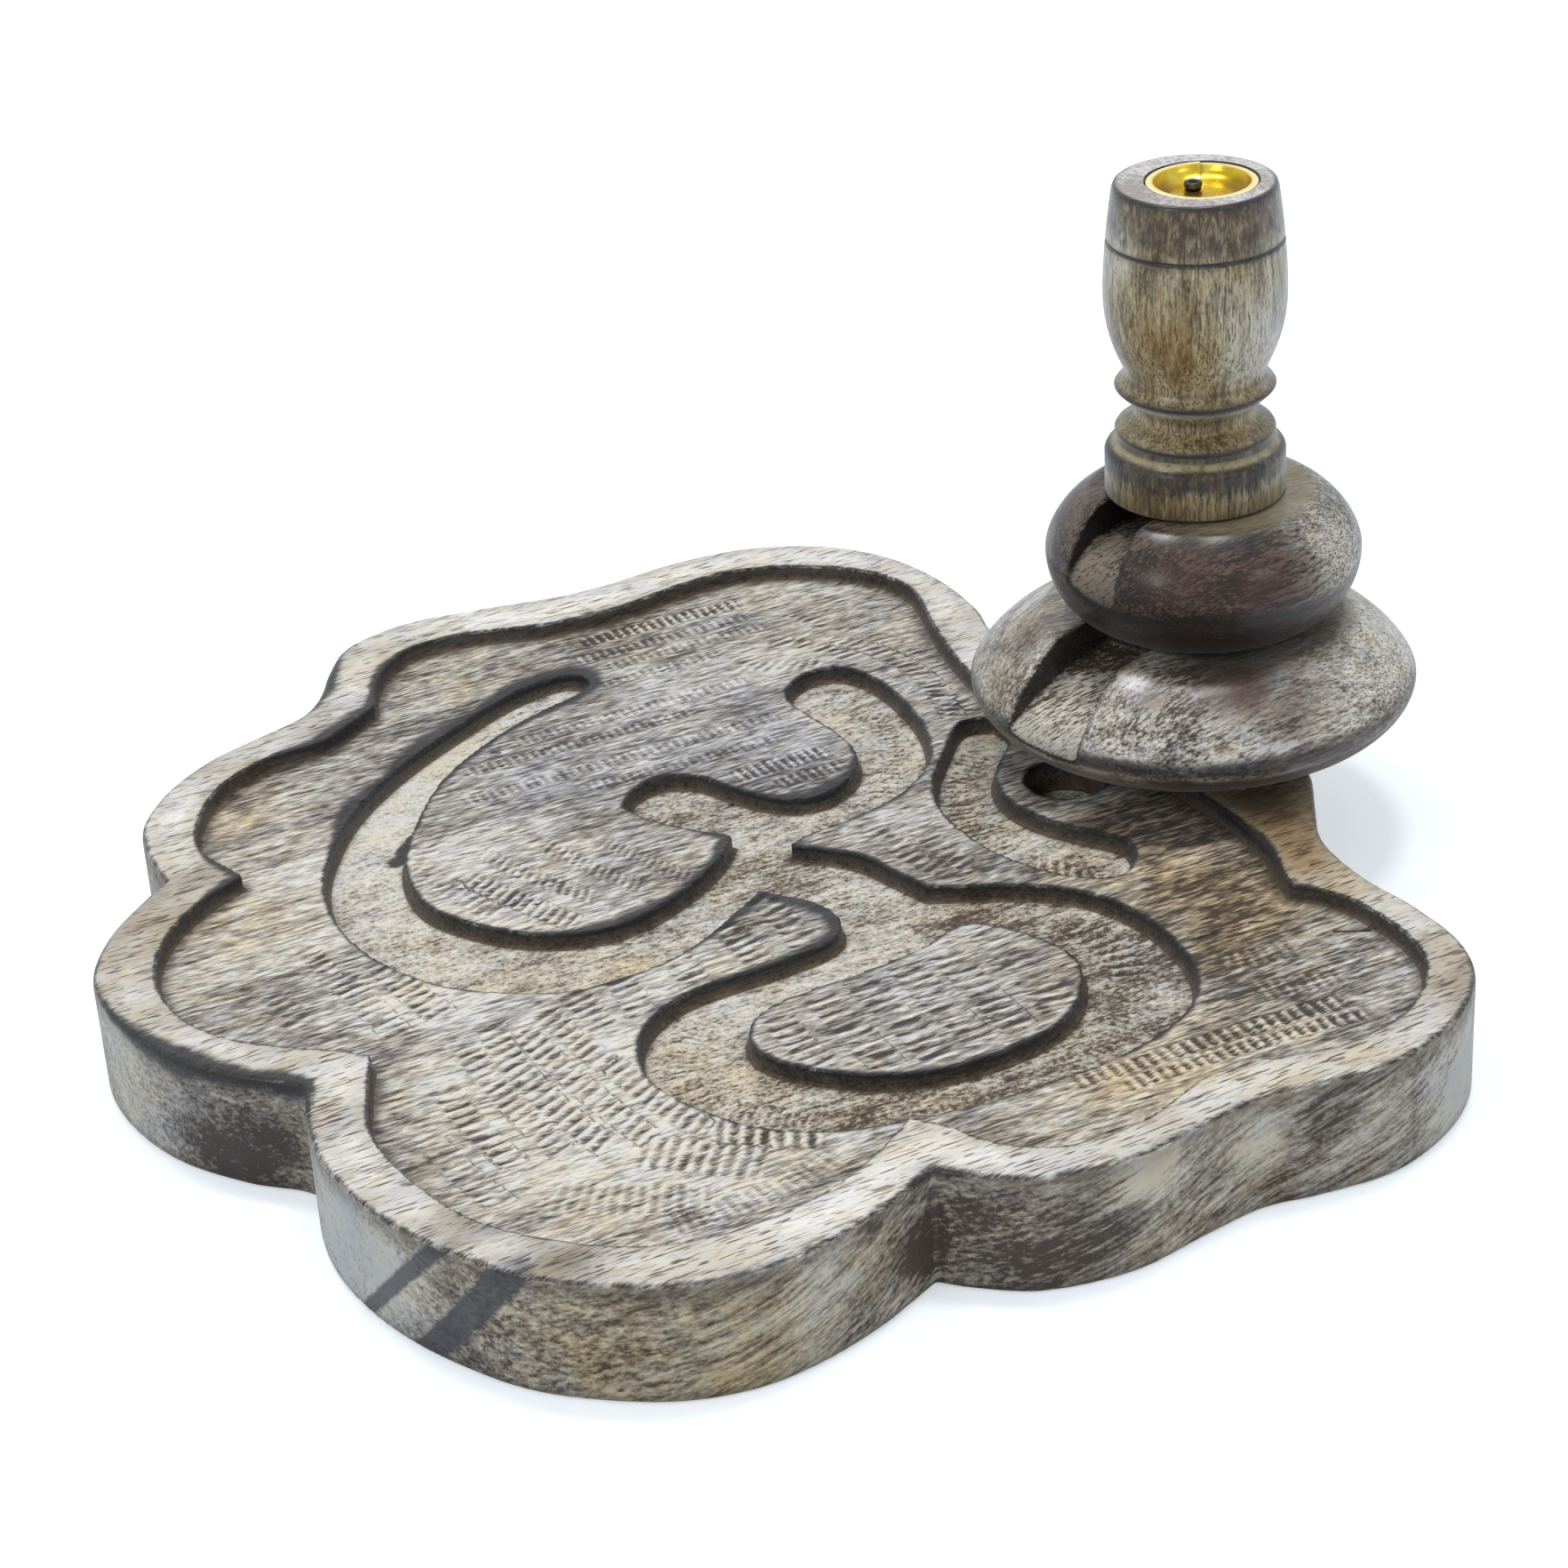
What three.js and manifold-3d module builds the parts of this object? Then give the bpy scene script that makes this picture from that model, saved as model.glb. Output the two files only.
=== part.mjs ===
// Backflow incense burner: a carved wooden tray with a pebble cascade and a turned cone holder.
// Millimetres, +Z up. The tray lies on z = 0 and the origin is under the middle of the burner.
// The sign carved in the tray stands upright along +Y, and the cascade stands at its +Y end.

import * as THREE from "three";
import { mergeVertices } from "three/addons/utils/BufferGeometryUtils.js";
import Module from "manifold-3d";

const wasm = await Module();
wasm.setup();

// Fit between pieces
const seatGap = 0.3;

// Tray
const trayLength = 219.1;
const trayDepth = 207.1;
const trayThickness = 20;
const pocketDepth = 3;
const troughDepth = 3;
const trayEdgeRadius = 0.8;
const dropDot = { x: 2.7, y: 50, radius: 6.8, depth: 5.5 };

// Tower: where its axis stands on the tray, and the way that its smoke channels face
const towerPlace = { x: 0.7, y: 76.4 };
const channelHeading = THREE.MathUtils.degToRad(-67.5);

// Pebbles: widest circle at height "widest" above the foot, crown cut flat at the seat.
// A channel's floor is level from its inner end out to "level", then falls to the lip.
const lowerPebble = {
  radius: 37.6, height: 20.7, widest: 9.8, foot: 17.5, seat: 25.3, crownRise: 1.33, crownFall: 2.42,
  channel: { width: 14.9, depth: 6.4, inner: 8, level: 14, aside: -4.3, lip: 1.2, fall: 0.45 },
};
const upperPebble = {
  radius: 26.3, height: 21.9, widest: 11.9, foot: 15.5, seat: 18.7, crownRise: 1.6, crownFall: 3.29,
  channel: { width: 10.6, depth: 5.7, inner: -2.3, level: 14.2, aside: -4.7, lip: 2.7, fall: 1.35 },
};

// Cone holder, turned in one piece and bored through for the smoke
const holder = {
  baseRadius: 14.9, baseHeight: 8.4, discRadius: 13.2, discHeight: 11, neckRadius: 9.8, neckHeight: 14.5,
  ringRadius: 13.2, ringHeight: 18.7, footRadius: 11.4, footHeight: 21.4, bellyRadius: 14.9,
  bellyHeight: 34.6, rimRadius: 13.2, height: 52.9, scribeDrop: 9.3, scribeDepth: 0.4, boreRadius: 4,
};

// The stack is built by eye: the upper pebble and the holder stand a little off the tower's axis
const offAxis = THREE.MathUtils.degToRad(65);
const upperShift = { distance: 1.8, bearing: offAxis };
const holderShift = { distance: 0.5, bearing: offAxis };

// Brass cup and the eyelet round its smoke hole, each set a little off the holder's axis
const cup = { flangeRadius: 9, mouthRadius: 7.7, floorRadius: 4.5, depth: 2.2, thickness: 0.5 };
const cupShift = { distance: 1.1, bearing: offAxis };
const eyelet = { headRadius: 1.5, headHeight: 0.9, tubeRadius: 1.1, boreRadius: 0.7, length: 2.2 };
const eyeletShift = { distance: 2.5, bearing: THREE.MathUtils.degToRad(155) };

// Fixings
const pebbleDowel = { radius: 2.5, length: 12, circle: 9.5, spread: THREE.MathUtils.degToRad(50) };
const holderDowel = { radius: 2, length: 10, circle: 10, spread: THREE.MathUtils.degToRad(45) };
const screw = { headRadius: 4, shankRadius: 1.8, length: 28, pointLength: 4, circle: 10, sunk: 0.6 };

// Facets
const pebbleSegments = 44;
const turnedSegments = 36;
const smallSegments = 16;
const outlineStep = 3.5;
const carvingStep = 3;

// Outlines, in smooth stretches that meet at corners. They are drawn at their real size
// and stretched with the tray when its length or depth is changed.
const rimOutline = [
  [[96.3, -26.7], [98.8, -32], [101.6, -38.5], [104.5, -49], [105.1, -60], [101.2, -72.1], [90.9, -85.4],
    [78.6, -93.3], [66.3, -98.1], [53.5, -100.2], [43.5, -99.6], [35.5, -97.6], [30, -95.6]],
  [[30, -95.6], [26.4, -98.2], [21.2, -103.6], [10, -110.8], [-3.5, -114.3], [-17.1, -113.6], [-28.5, -107.4],
    [-37.6, -98.2], [-40.8, -94.1]],
  [[-40.8, -94.1], [-47.4, -93.9], [-54.1, -93.3], [-61.9, -90.9], [-70.9, -83.8], [-77.8, -74.2],
    [-81.6, -64], [-85.1, -54.5], [-90.8, -48.9], [-99.6, -43.7], [-107.2, -37.2], [-110.7, -25.2],
    [-109, -11], [-106, 3.8], [-105.7, 14], [-107.2, 28], [-105.6, 43.4], [-98.4, 56.3], [-87.4, 64.3],
    [-73.5, 67.7], [-58.5, 67.4], [-47.5, 65], [-37, 67.5], [-28.5, 74.5], [-22.5, 83.5], [-13.5, 90.5],
    [-2.5, 92.5], [8.5, 90.3], [18.5, 85.5], [27.8, 82.5], [37.2, 77], [46.9, 71.9], [59.5, 70.6],
    [71.5, 72.1], [83.6, 71.9], [93.6, 67.7], [101.7, 58.6], [106.9, 45.2], [106.3, 32], [104.8, 23],
    [106.2, 12.4], [108.4, -1], [106.1, -14.1], [100.8, -22.2], [96.3, -26.7]],
];
const pocketOutline = [
  [[83.3, -23.5], [87.2, -19.9], [95, -15.8], [99.9, -10], [101.5, -3], [100.6, 6.2], [96.4, 17.5], [96, 25],
    [98.6, 36], [98.9, 44], [95.8, 54], [88.5, 62.3], [79.5, 65.7], [67.5, 65.3], [60.5, 62.7], [56.5, 59.3]],
  [[56.5, 59.3], [51.5, 60.7], [44.5, 62.7], [31.5, 63.6], [16.5, 62], [2.5, 58.5], [-13.5, 55],
    [-31.5, 52.9], [-46.5, 54.8], [-57.7, 57.4], [-71.5, 60.9], [-82.5, 58.2], [-92.5, 48], [-97.5, 36],
    [-97, 24], [-94.8, 11], [-95.7, -3], [-99.9, -16], [-100.3, -26.5], [-95.5, -34.2], [-88.3, -39.2],
    [-81.6, -41.8]],
  [[-81.6, -41.8], [-79.4, -45.2], [-76.4, -49.8], [-73.7, -55], [-73, -64], [-68.2, -74.4], [-59.4, -81.6],
    [-48.5, -85.5], [-35.7, -82.4]],
  [[-35.7, -82.4], [-31.8, -89.9], [-24.9, -98], [-14.6, -104.1], [-2.4, -105.7], [8.7, -102.3],
    [17.4, -94.6], [22.6, -87.9], [27, -84]],
  [[27, -84], [35.1, -87.5], [46.5, -91.4], [59.6, -90.9], [73.8, -86.9], [84.2, -79.2], [92.3, -68.6],
    [95.3, -55], [93, -41], [88, -30.5], [83.3, -23.5]],
];
const signOutline = [
  [[-2, 0.2], [-3.7, 4.8], [-4.8, 13], [-6.7, 21], [-10.4, 28], [-16.5, 34.3], [-25.5, 38.5], [-36.5, 40.6],
    [-48.5, 40.5], [-55.5, 37.5], [-56.8, 32], [-53.5, 26], [-48.5, 23.8], [-40.5, 24.6], [-30.5, 25.6],
    [-22.5, 23.8], [-16.8, 18.8], [-14.5, 12.5], [-16.5, 6.5], [-23.5, 1.6], [-31.5, -2], [-35, -7],
    [-33.5, -13.5], [-28.5, -17.7]],
  [[-28.5, -17.7], [-21.5, -15.3], [-15.5, -11], [-10, -6.2]],
  [[-10, -6.2], [-4.5, -11], [1.5, -19.5], [5.5, -28.5], [6.3, -37], [3, -46], [-4.5, -53.3], [-15.5, -58.6],
    [-28.5, -57.2], [-40.5, -51], [-52.5, -42], [-60.5, -32.5], [-66.5, -22], [-70, -13], [-72.5, -5.5],
    [-77, -3.2], [-80, -7], [-78, -17.5], [-72, -29.5], [-63.5, -43.5], [-53, -56], [-41.5, -64.8],
    [-29.5, -70.8], [-16.5, -73], [-3.5, -71.5], [8.5, -66], [16.5, -57.5], [21.3, -48], [21.3, -36],
    [18.3, -26], [8.8, -10.5]],
  [[8.8, -10.5], [13.5, -7], [17.5, -4.3], [22, -3.5], [26.5, -4.8], [29.3, -9], [30.5, -19], [31.1, -33],
    [35, -41.5], [42, -47.2], [51.5, -49], [61.5, -46], [70.5, -40.5], [77, -31], [80.3, -18], [81.8, -4],
    [81, 12], [77.5, 24], [72, 32], [63.5, 36.3], [51.5, 37.6], [39.5, 35], [31, 28], [25.5, 19],
    [22, 12.8]],
  [[22, 12.8], [14.5, 10.6], [6.5, 8], [-2, 0.2]],
];
const islandOutline = [
  [[35.2, 11.5], [39.5, 17], [47.5, 21], [54.5, 21.8], [62, 18], [67.5, 12], [70.5, 3], [70.5, -10],
    [67, -19.5], [59.5, -28], [51.5, -32.2], [44, -29.3], [40.7, -22], [40.1, -11], [38.3, 3]],
];
const crescentOutline = [
  [[-25, 48.5], [-24.5, 44.5], [-18.5, 39], [-8.5, 31], [1.5, 27.2], [11.5, 26.9], [21.5, 29], [30.5, 33.8],
    [35.3, 40.5], [32.5, 45], [26.5, 48], [19.5, 44], [11.5, 39.6], [2.5, 38.3], [-5.5, 41], [-12.5, 47.2],
    [-17.5, 51.2], [-22.5, 51.6]],
];

// A closed outline through the drawn points, evenly stepped along each smooth stretch
function traced(stretches, step) {
  const points = [];
  for (const stretch of stretches) {
    const through = stretch.map(([x, y]) => new THREE.Vector3(x, y, 0));
    const curve = new THREE.CatmullRomCurve3(through, stretches.length === 1, "catmullrom");
    const count = Math.round(curve.getLength() / step);
    points.push(...curve.getSpacedPoints(count).slice(0, -1));
  }
  return points.map((point) => new THREE.Vector2(point.x, point.y));
}

const drawnRim = new THREE.Box2().setFromPoints(traced(rimOutline, outlineStep));
const drawnSize = drawnRim.getSize(new THREE.Vector2());
const trayStretch = new THREE.Vector2(trayLength / drawnSize.x, trayDepth / drawnSize.y);

function onTray(stretches, step) {
  return new THREE.Shape(traced(stretches, step).map((point) => point.multiply(trayStretch)));
}

// Booleans: a closed geometry becomes a solid, and a solid becomes a geometry again
function solid(geometry) {
  const bare = geometry.clone();
  bare.deleteAttribute("normal");
  bare.deleteAttribute("uv");
  const merged = mergeVertices(bare, 1e-4);
  const corners = merged.index.array;
  const triangles = [];
  for (let i = 0; i < corners.length; i += 3) {
    const [a, b, c] = [corners[i], corners[i + 1], corners[i + 2]];
    if (a !== b && b !== c && c !== a) {
      triangles.push(a, b, c);
    }
  }
  return new wasm.Manifold(new wasm.Mesh({
    numProp: 3,
    vertProperties: new Float32Array(merged.attributes.position.array),
    triVerts: new Uint32Array(triangles),
  }));
}

function cutFrom(body, cutters) {
  return cutters.reduce((rest, cutter) => rest.subtract(cutter), body);
}

function geometryOf(body) {
  const mesh = body.getMesh();
  const geometry = new THREE.BufferGeometry();
  geometry.setAttribute("position", new THREE.BufferAttribute(mesh.vertProperties, 3));
  geometry.setIndex(new THREE.BufferAttribute(mesh.triVerts, 1));
  return geometry;
}

// An upright prism of a shape, from one height to another
function prism(shape, bottom, top) {
  const geometry = new THREE.ExtrudeGeometry(shape, { depth: top - bottom, bevelEnabled: false });
  return geometry.translate(0, 0, bottom);
}

// A revolve about +Z of a profile of [radius, height] points, listed upwards along its outside
function turned(profile, segments) {
  const points = profile.map(([radius, height]) => new THREE.Vector2(radius, height));
  return new THREE.LatheGeometry(points, segments).rotateX(Math.PI / 2);
}

function rod(radius, bottom, top, x, y, segments = smallSegments) {
  const profile = [[0, bottom], [radius, bottom], [radius, top], [0, top]];
  return turned(profile, segments).translate(x, y, 0);
}

function part(name, body, color, roughness, metalness) {
  const material = new THREE.MeshStandardMaterial({ color, roughness, metalness });
  const mesh = new THREE.Mesh(geometryOf(body), material);
  mesh.name = name;
  return mesh;
}

// The place at a distance from an axis, on a bearing about it
function placeAt({ distance, bearing }) {
  return new THREE.Vector2(distance * Math.cos(bearing), distance * Math.sin(bearing));
}

function shifted(geometry, shift) {
  const { x, y } = placeAt(shift);
  return geometry.translate(x, y, 0);
}

function movedBy(places, move) {
  return places.map((place) => place.clone().add(move));
}

// Two places on a circle about an axis, on the side away from the channels
function behindChannels(circle, spread) {
  return [-spread, spread].map((turn) => {
    return placeAt({ distance: circle, bearing: channelHeading + Math.PI + turn });
  });
}

// Two places on a circle about an axis, to the left and right of the channels
function besideChannels(circle) {
  return behindChannels(circle, Math.PI / 2);
}

// Tray
function makeTray() {
  const rim = new THREE.ExtrudeGeometry(onTray(rimOutline, outlineStep), {
    depth: trayThickness - 2 * trayEdgeRadius,
    bevelThickness: trayEdgeRadius,
    bevelSize: trayEdgeRadius,
    bevelOffset: -trayEdgeRadius,
    bevelSegments: 2,
  }).translate(0, 0, trayEdgeRadius);
  const floor = trayThickness - pocketDepth;
  const above = trayThickness + 1;
  const sign = onTray(signOutline, carvingStep);
  sign.holes.push(onTray(islandOutline, carvingStep));
  const dotX = dropDot.x * trayStretch.x;
  const dotY = dropDot.y * trayStretch.y;
  const cutters = [
    prism(onTray(pocketOutline, outlineStep), floor, above),
    prism(sign, floor - troughDepth, above),
    prism(onTray(crescentOutline, carvingStep), floor - troughDepth, above),
    rod(dropDot.radius, floor - dropDot.depth, above, dotX, dotY, turnedSegments),
  ].map(solid);
  for (const [x, y] of besideChannels(screw.circle)) {
    const head = screw.headRadius + seatGap;
    const shank = screw.shankRadius + seatGap;
    const profile = [[0, -1], [head, -1], [head, screw.sunk + seatGap]];
    profile.push([shank, screw.sunk + seatGap + head - shank], [shank, above], [0, above]);
    cutters.push(solid(turned(profile, smallSegments).translate(x + tower.x, y + tower.y, 0)));
  }
  return cutFrom(solid(rim), cutters);
}

// Pebbles
function pebbleProfile({ radius, height, widest, foot, seat, crownRise, crownFall }) {
  const profile = [[0, 0]];
  const undersideSteps = 6;
  for (let i = 0; i <= undersideSteps; i += 1) {
    const turn = (i / undersideSteps) * Math.PI / 2;
    profile.push([foot + (radius - foot) * Math.sin(turn), widest * (1 - Math.cos(turn))]);
  }
  const crownSteps = 8;
  const crownEnd = (1 - (seat / radius) ** crownFall) ** (1 / crownRise);
  for (let i = 1; i <= crownSteps; i += 1) {
    const rise = i / crownSteps;
    const shrink = (1 - (crownEnd * rise) ** crownRise) ** (1 / crownFall);
    profile.push([radius * shrink, widest + (height - widest) * rise]);
  }
  profile.push([0, height]);
  return profile;
}

// The cutter for a pebble's channel, drawn from the side and as thick as the channel is wide
function channelCutter({ radius, height, widest, channel }) {
  const floor = height - channel.depth;
  const lip = widest - channel.lip;
  const bend = radius - (floor - lip) / channel.fall;
  const past = 6;
  const side = new THREE.Shape();
  side.moveTo(channel.inner, height + 1);
  side.lineTo(channel.inner, floor);
  side.lineTo(channel.level, floor);
  side.quadraticCurveTo(bend, floor, radius, lip);
  side.lineTo(radius + past, lip - past * channel.fall);
  side.lineTo(radius + past, height + 1);
  const cutter = new THREE.ExtrudeGeometry(side, {
    depth: channel.width, bevelEnabled: false, curveSegments: 7,
  });
  cutter.translate(0, 0, -channel.width / 2 - channel.aside);
  return cutter.rotateX(Math.PI / 2).rotateZ(channelHeading);
}

function makePebble(pebble, holes) {
  const cutters = [channelCutter(pebble), ...holes].map(solid);
  return cutFrom(solid(turned(pebbleProfile(pebble), pebbleSegments)), cutters);
}

// Holes for a pair of round fixings, between two heights
function pairOfHoles(radius, bottom, top, places) {
  return places.map(([x, y]) => rod(radius + seatGap, bottom, top, x, y));
}

// How deep a dowel's hole goes into each of the two pieces that it joins
function dowelDepth(dowel) {
  return dowel.length / 2 + seatGap / 2;
}

// Cone holder
function holderProfile() {
  const h = holder;
  const scribe = h.height - h.scribeDrop;
  const bellyAt = (height) => {
    const fall = height > h.bellyHeight
      ? (h.bellyRadius - h.rimRadius) * ((height - h.bellyHeight) / (h.height - h.bellyHeight)) ** 1.7
      : (h.bellyRadius - h.footRadius) * ((h.bellyHeight - height) / (h.bellyHeight - h.footHeight)) ** 2.1;
    return h.bellyRadius - fall;
  };
  const profile = [[0, 0], [h.baseRadius - 0.4, 0], [h.baseRadius, 0.5], [h.baseRadius, h.baseHeight - 0.9]];
  profile.push([h.baseRadius - 0.7, h.baseHeight], [h.discRadius - 0.4, h.baseHeight + 1]);
  profile.push([h.discRadius - 0.5, h.discHeight - 0.6], [h.discRadius, h.discHeight - 0.3]);
  profile.push([h.discRadius - 0.2, h.discHeight + 0.6], [h.neckRadius + 0.8, h.discHeight + 1.8]);
  profile.push([h.neckRadius + 0.1, h.neckHeight - 1], [h.neckRadius, h.neckHeight]);
  profile.push([h.neckRadius + 0.5, h.neckHeight + 1.6], [h.ringRadius - 0.9, h.ringHeight - 1.1]);
  profile.push([h.ringRadius, h.ringHeight - 0.4], [h.ringRadius - 0.1, h.ringHeight + 0.5]);
  profile.push([h.footRadius + 0.5, h.ringHeight + 1.7]);
  const bellySteps = 8;
  const lowBelly = scribe - 0.5 - h.footHeight;
  for (let i = 0; i <= bellySteps; i += 1) {
    const height = h.footHeight + (lowBelly * i) / bellySteps;
    profile.push([bellyAt(height), height]);
  }
  profile.push([bellyAt(scribe) - h.scribeDepth, scribe]);
  const collarSteps = 3;
  const highBelly = h.height - 1 - (scribe + 0.5);
  for (let i = 0; i <= collarSteps; i += 1) {
    const height = scribe + 0.5 + (highBelly * i) / collarSteps;
    profile.push([bellyAt(height), height]);
  }
  profile.push([h.rimRadius - 0.15, h.height - 0.3], [h.rimRadius - 0.5, h.height], [0, h.height]);
  return profile;
}

// The cup's dish, from its rim in to its flat floor, on a quarter of an ellipse
function dishCurve() {
  const steps = 4;
  return Array.from({ length: steps + 1 }, (_, i) => {
    const turn = (i / steps) * Math.PI / 2;
    const radius = cup.floorRadius + (cup.mouthRadius - cup.floorRadius) * Math.cos(turn);
    return [radius, -cup.depth * Math.sin(turn)];
  });
}

// The cup's outside, grown by a clearance for the recess that it drops into
function cupOutside(clearance) {
  const wall = cup.thickness + clearance;
  const shell = dishCurve().reverse().map(([radius, height]) => [radius + wall, height - wall]);
  return [[0, -cup.depth - wall], ...shell, [cup.flangeRadius + clearance, -wall]];
}

function makeHolder() {
  const mouth = [[cup.flangeRadius + seatGap, 1], [0, 1]];
  const recess = shifted(turned([...cupOutside(seatGap), ...mouth], turnedSegments), cupShift);
  const cutters = [
    rod(holder.boreRadius, -1, holder.height, 0, 0),
    recess.translate(0, 0, holder.height),
    ...pairOfHoles(holderDowel.radius, -1, dowelDepth(holderDowel), holderDowelPlaces),
  ].map(solid);
  return cutFrom(solid(turned(holderProfile(), turnedSegments)), cutters);
}

function makeCup() {
  const profile = [...cupOutside(0), [cup.flangeRadius, 0], ...dishCurve(), [0, -cup.depth]];
  const hole = rod(eyelet.tubeRadius + seatGap, -cup.depth - 2, 1, 0, 0);
  const dish = solid(shifted(turned(profile, turnedSegments), cupShift));
  return cutFrom(dish, [solid(shifted(hole, eyeletShift))]);
}

function makeEyelet() {
  const { headRadius, headHeight, tubeRadius, boreRadius, length } = eyelet;
  const rounding = 0.25;
  const seat = seatGap;
  const profile = [
    [boreRadius, seat - length], [tubeRadius, seat - length], [tubeRadius, seat], [headRadius, seat],
    [headRadius, seat + headHeight - rounding], [headRadius - rounding, seat + headHeight],
    [boreRadius + rounding, seat + headHeight], [boreRadius, seat + headHeight - rounding],
    [boreRadius, seat - length],
  ];
  return solid(shifted(turned(profile, smallSegments), eyeletShift));
}

// Fixings
function makeScrew() {
  const { headRadius, shankRadius, length, pointLength } = screw;
  return solid(turned([
    [0, 0], [headRadius, 0], [headRadius, 0.2], [shankRadius, headRadius - shankRadius + 0.2],
    [shankRadius, length - pointLength], [0, length],
  ], smallSegments));
}

function makeDowel({ radius, length }) {
  const chamfer = 0.6;
  return solid(turned([
    [0, 0], [radius - chamfer, 0], [radius, chamfer], [radius, length - chamfer],
    [radius - chamfer, length], [0, length],
  ], smallSegments));
}

// The assembly
const tower = new THREE.Vector2(towerPlace.x, towerPlace.y).multiply(trayStretch);
const onAxis = new THREE.Vector2(0, 0);
const upperPlace = placeAt(upperShift);
const holderPlace = placeAt(holderShift);

const screwPlaces = besideChannels(screw.circle);
const pebbleDowelPlaces = behindChannels(pebbleDowel.circle, pebbleDowel.spread);
const holderDowelPlaces = behindChannels(holderDowel.circle, holderDowel.spread);
const dowelPlacesUnderHolder = movedBy(holderDowelPlaces, holderPlace);

const lowerFoot = trayThickness + seatGap;
const upperFoot = lowerFoot + lowerPebble.height + seatGap;
const holderFoot = upperFoot + upperPebble.height + seatGap;
const holderTop = holderFoot + holder.height;

const screwReach = screw.sunk + screw.length - lowerFoot + seatGap;

function crownHoles(pebble, dowel, places) {
  return pairOfHoles(dowel.radius, pebble.height - dowelDepth(dowel), pebble.height + 1, places);
}

const lowerHoles = [
  ...pairOfHoles(screw.shankRadius, -1, screwReach, screwPlaces),
  ...crownHoles(lowerPebble, pebbleDowel, pebbleDowelPlaces),
];
const toUpperAxis = upperPlace.clone().negate();
const upperFootPlaces = movedBy(pebbleDowelPlaces, toUpperAxis);
const upperHoles = [
  ...pairOfHoles(pebbleDowel.radius, -1, dowelDepth(pebbleDowel), upperFootPlaces),
  ...crownHoles(upperPebble, holderDowel, movedBy(dowelPlacesUnderHolder, toUpperAxis)),
];

const burner = new THREE.Group();
burner.add(part("tray", makeTray(), 0xb49a78, 0.75, 0));

const cascade = new THREE.Group();
cascade.position.set(tower.x, tower.y, 0);
burner.add(cascade);

function stand(mesh, [x, y], z) {
  mesh.position.set(x, y, z);
  cascade.add(mesh);
}

stand(part("lower_pebble", makePebble(lowerPebble, lowerHoles), 0x8d7a64, 0.6, 0), onAxis, lowerFoot);
stand(part("upper_pebble", makePebble(upperPebble, upperHoles), 0x6d5443, 0.5, 0), upperPlace, upperFoot);
stand(part("cone_holder", makeHolder(), 0xa48a5e, 0.65, 0), holderPlace, holderFoot);
stand(part("brass_cup", makeCup(), 0xd9a521, 0.25, 1), holderPlace, holderTop);
stand(part("cup_eyelet", makeEyelet(), 0x3a3532, 0.5, 0.8), holderPlace, holderTop - cup.depth);

const sides = ["left", "right"];
const lowDowelFoot = upperFoot - seatGap / 2 - pebbleDowel.length / 2;
const highDowelFoot = holderFoot - seatGap / 2 - holderDowel.length / 2;
sides.forEach((side, i) => {
  const lowDowel = part(`pebble_dowel_${side}`, makeDowel(pebbleDowel), 0xc9ac7c, 0.7, 0);
  const highDowel = part(`holder_dowel_${side}`, makeDowel(holderDowel), 0xc9ac7c, 0.7, 0);
  stand(part(`tray_screw_${side}`, makeScrew(), 0x8f8f92, 0.4, 1), screwPlaces[i], screw.sunk);
  stand(lowDowel, pebbleDowelPlaces[i], lowDowelFoot);
  stand(highDowel, dowelPlacesUnderHolder[i], highDowelFoot);
});

// The origin goes under the middle of the whole burner
burner.updateMatrixWorld(true);
const middle = new THREE.Box3().setFromObject(burner).getCenter(new THREE.Vector3());
burner.position.set(-middle.x, -middle.y, 0);

export default burner;
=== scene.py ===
import math

import bmesh
import bpy
import numpy as np
from mathutils import Matrix, Vector, kdtree, noise


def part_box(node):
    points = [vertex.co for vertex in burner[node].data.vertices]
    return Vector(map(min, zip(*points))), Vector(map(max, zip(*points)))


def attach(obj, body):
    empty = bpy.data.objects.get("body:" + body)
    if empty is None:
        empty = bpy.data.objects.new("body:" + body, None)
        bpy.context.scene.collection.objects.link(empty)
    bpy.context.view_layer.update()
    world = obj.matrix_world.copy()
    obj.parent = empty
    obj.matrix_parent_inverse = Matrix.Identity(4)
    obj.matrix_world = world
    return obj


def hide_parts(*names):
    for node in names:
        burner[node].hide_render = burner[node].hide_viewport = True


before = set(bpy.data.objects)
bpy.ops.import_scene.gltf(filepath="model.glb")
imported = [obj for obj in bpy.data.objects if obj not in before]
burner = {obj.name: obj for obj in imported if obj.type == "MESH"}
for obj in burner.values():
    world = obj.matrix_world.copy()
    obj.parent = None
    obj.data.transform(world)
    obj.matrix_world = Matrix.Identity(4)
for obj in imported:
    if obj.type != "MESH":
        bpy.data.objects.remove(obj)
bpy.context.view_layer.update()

mm = 0.001


def middleOf(node):  # centre of a CAD node's box
    low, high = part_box(node)
    return (low + high) / 2


def srgb(red, green, blue):  # a colour as a picture viewer names it, made linear
    def linear(value):
        value /= 255
        return value / 12.92 if value <= 0.04045 else ((value + 0.055) / 1.055) ** 2.4
    return (linear(red), linear(green), linear(blue), 1.0)


def shades(**colours):  # a piece's colours by name
    return {name: srgb(*colour) for name, colour in colours.items()}


# Camera, at the photograph's viewpoint
camera = {
    "focal": 83.3,  # mm, on a 36 mm sensor
    "place": (0.4711, -0.2198, 0.3077),
    "azimuth": 65.0,
    "pitch": 28.21,
    "roll": -3.5,
}


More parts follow.
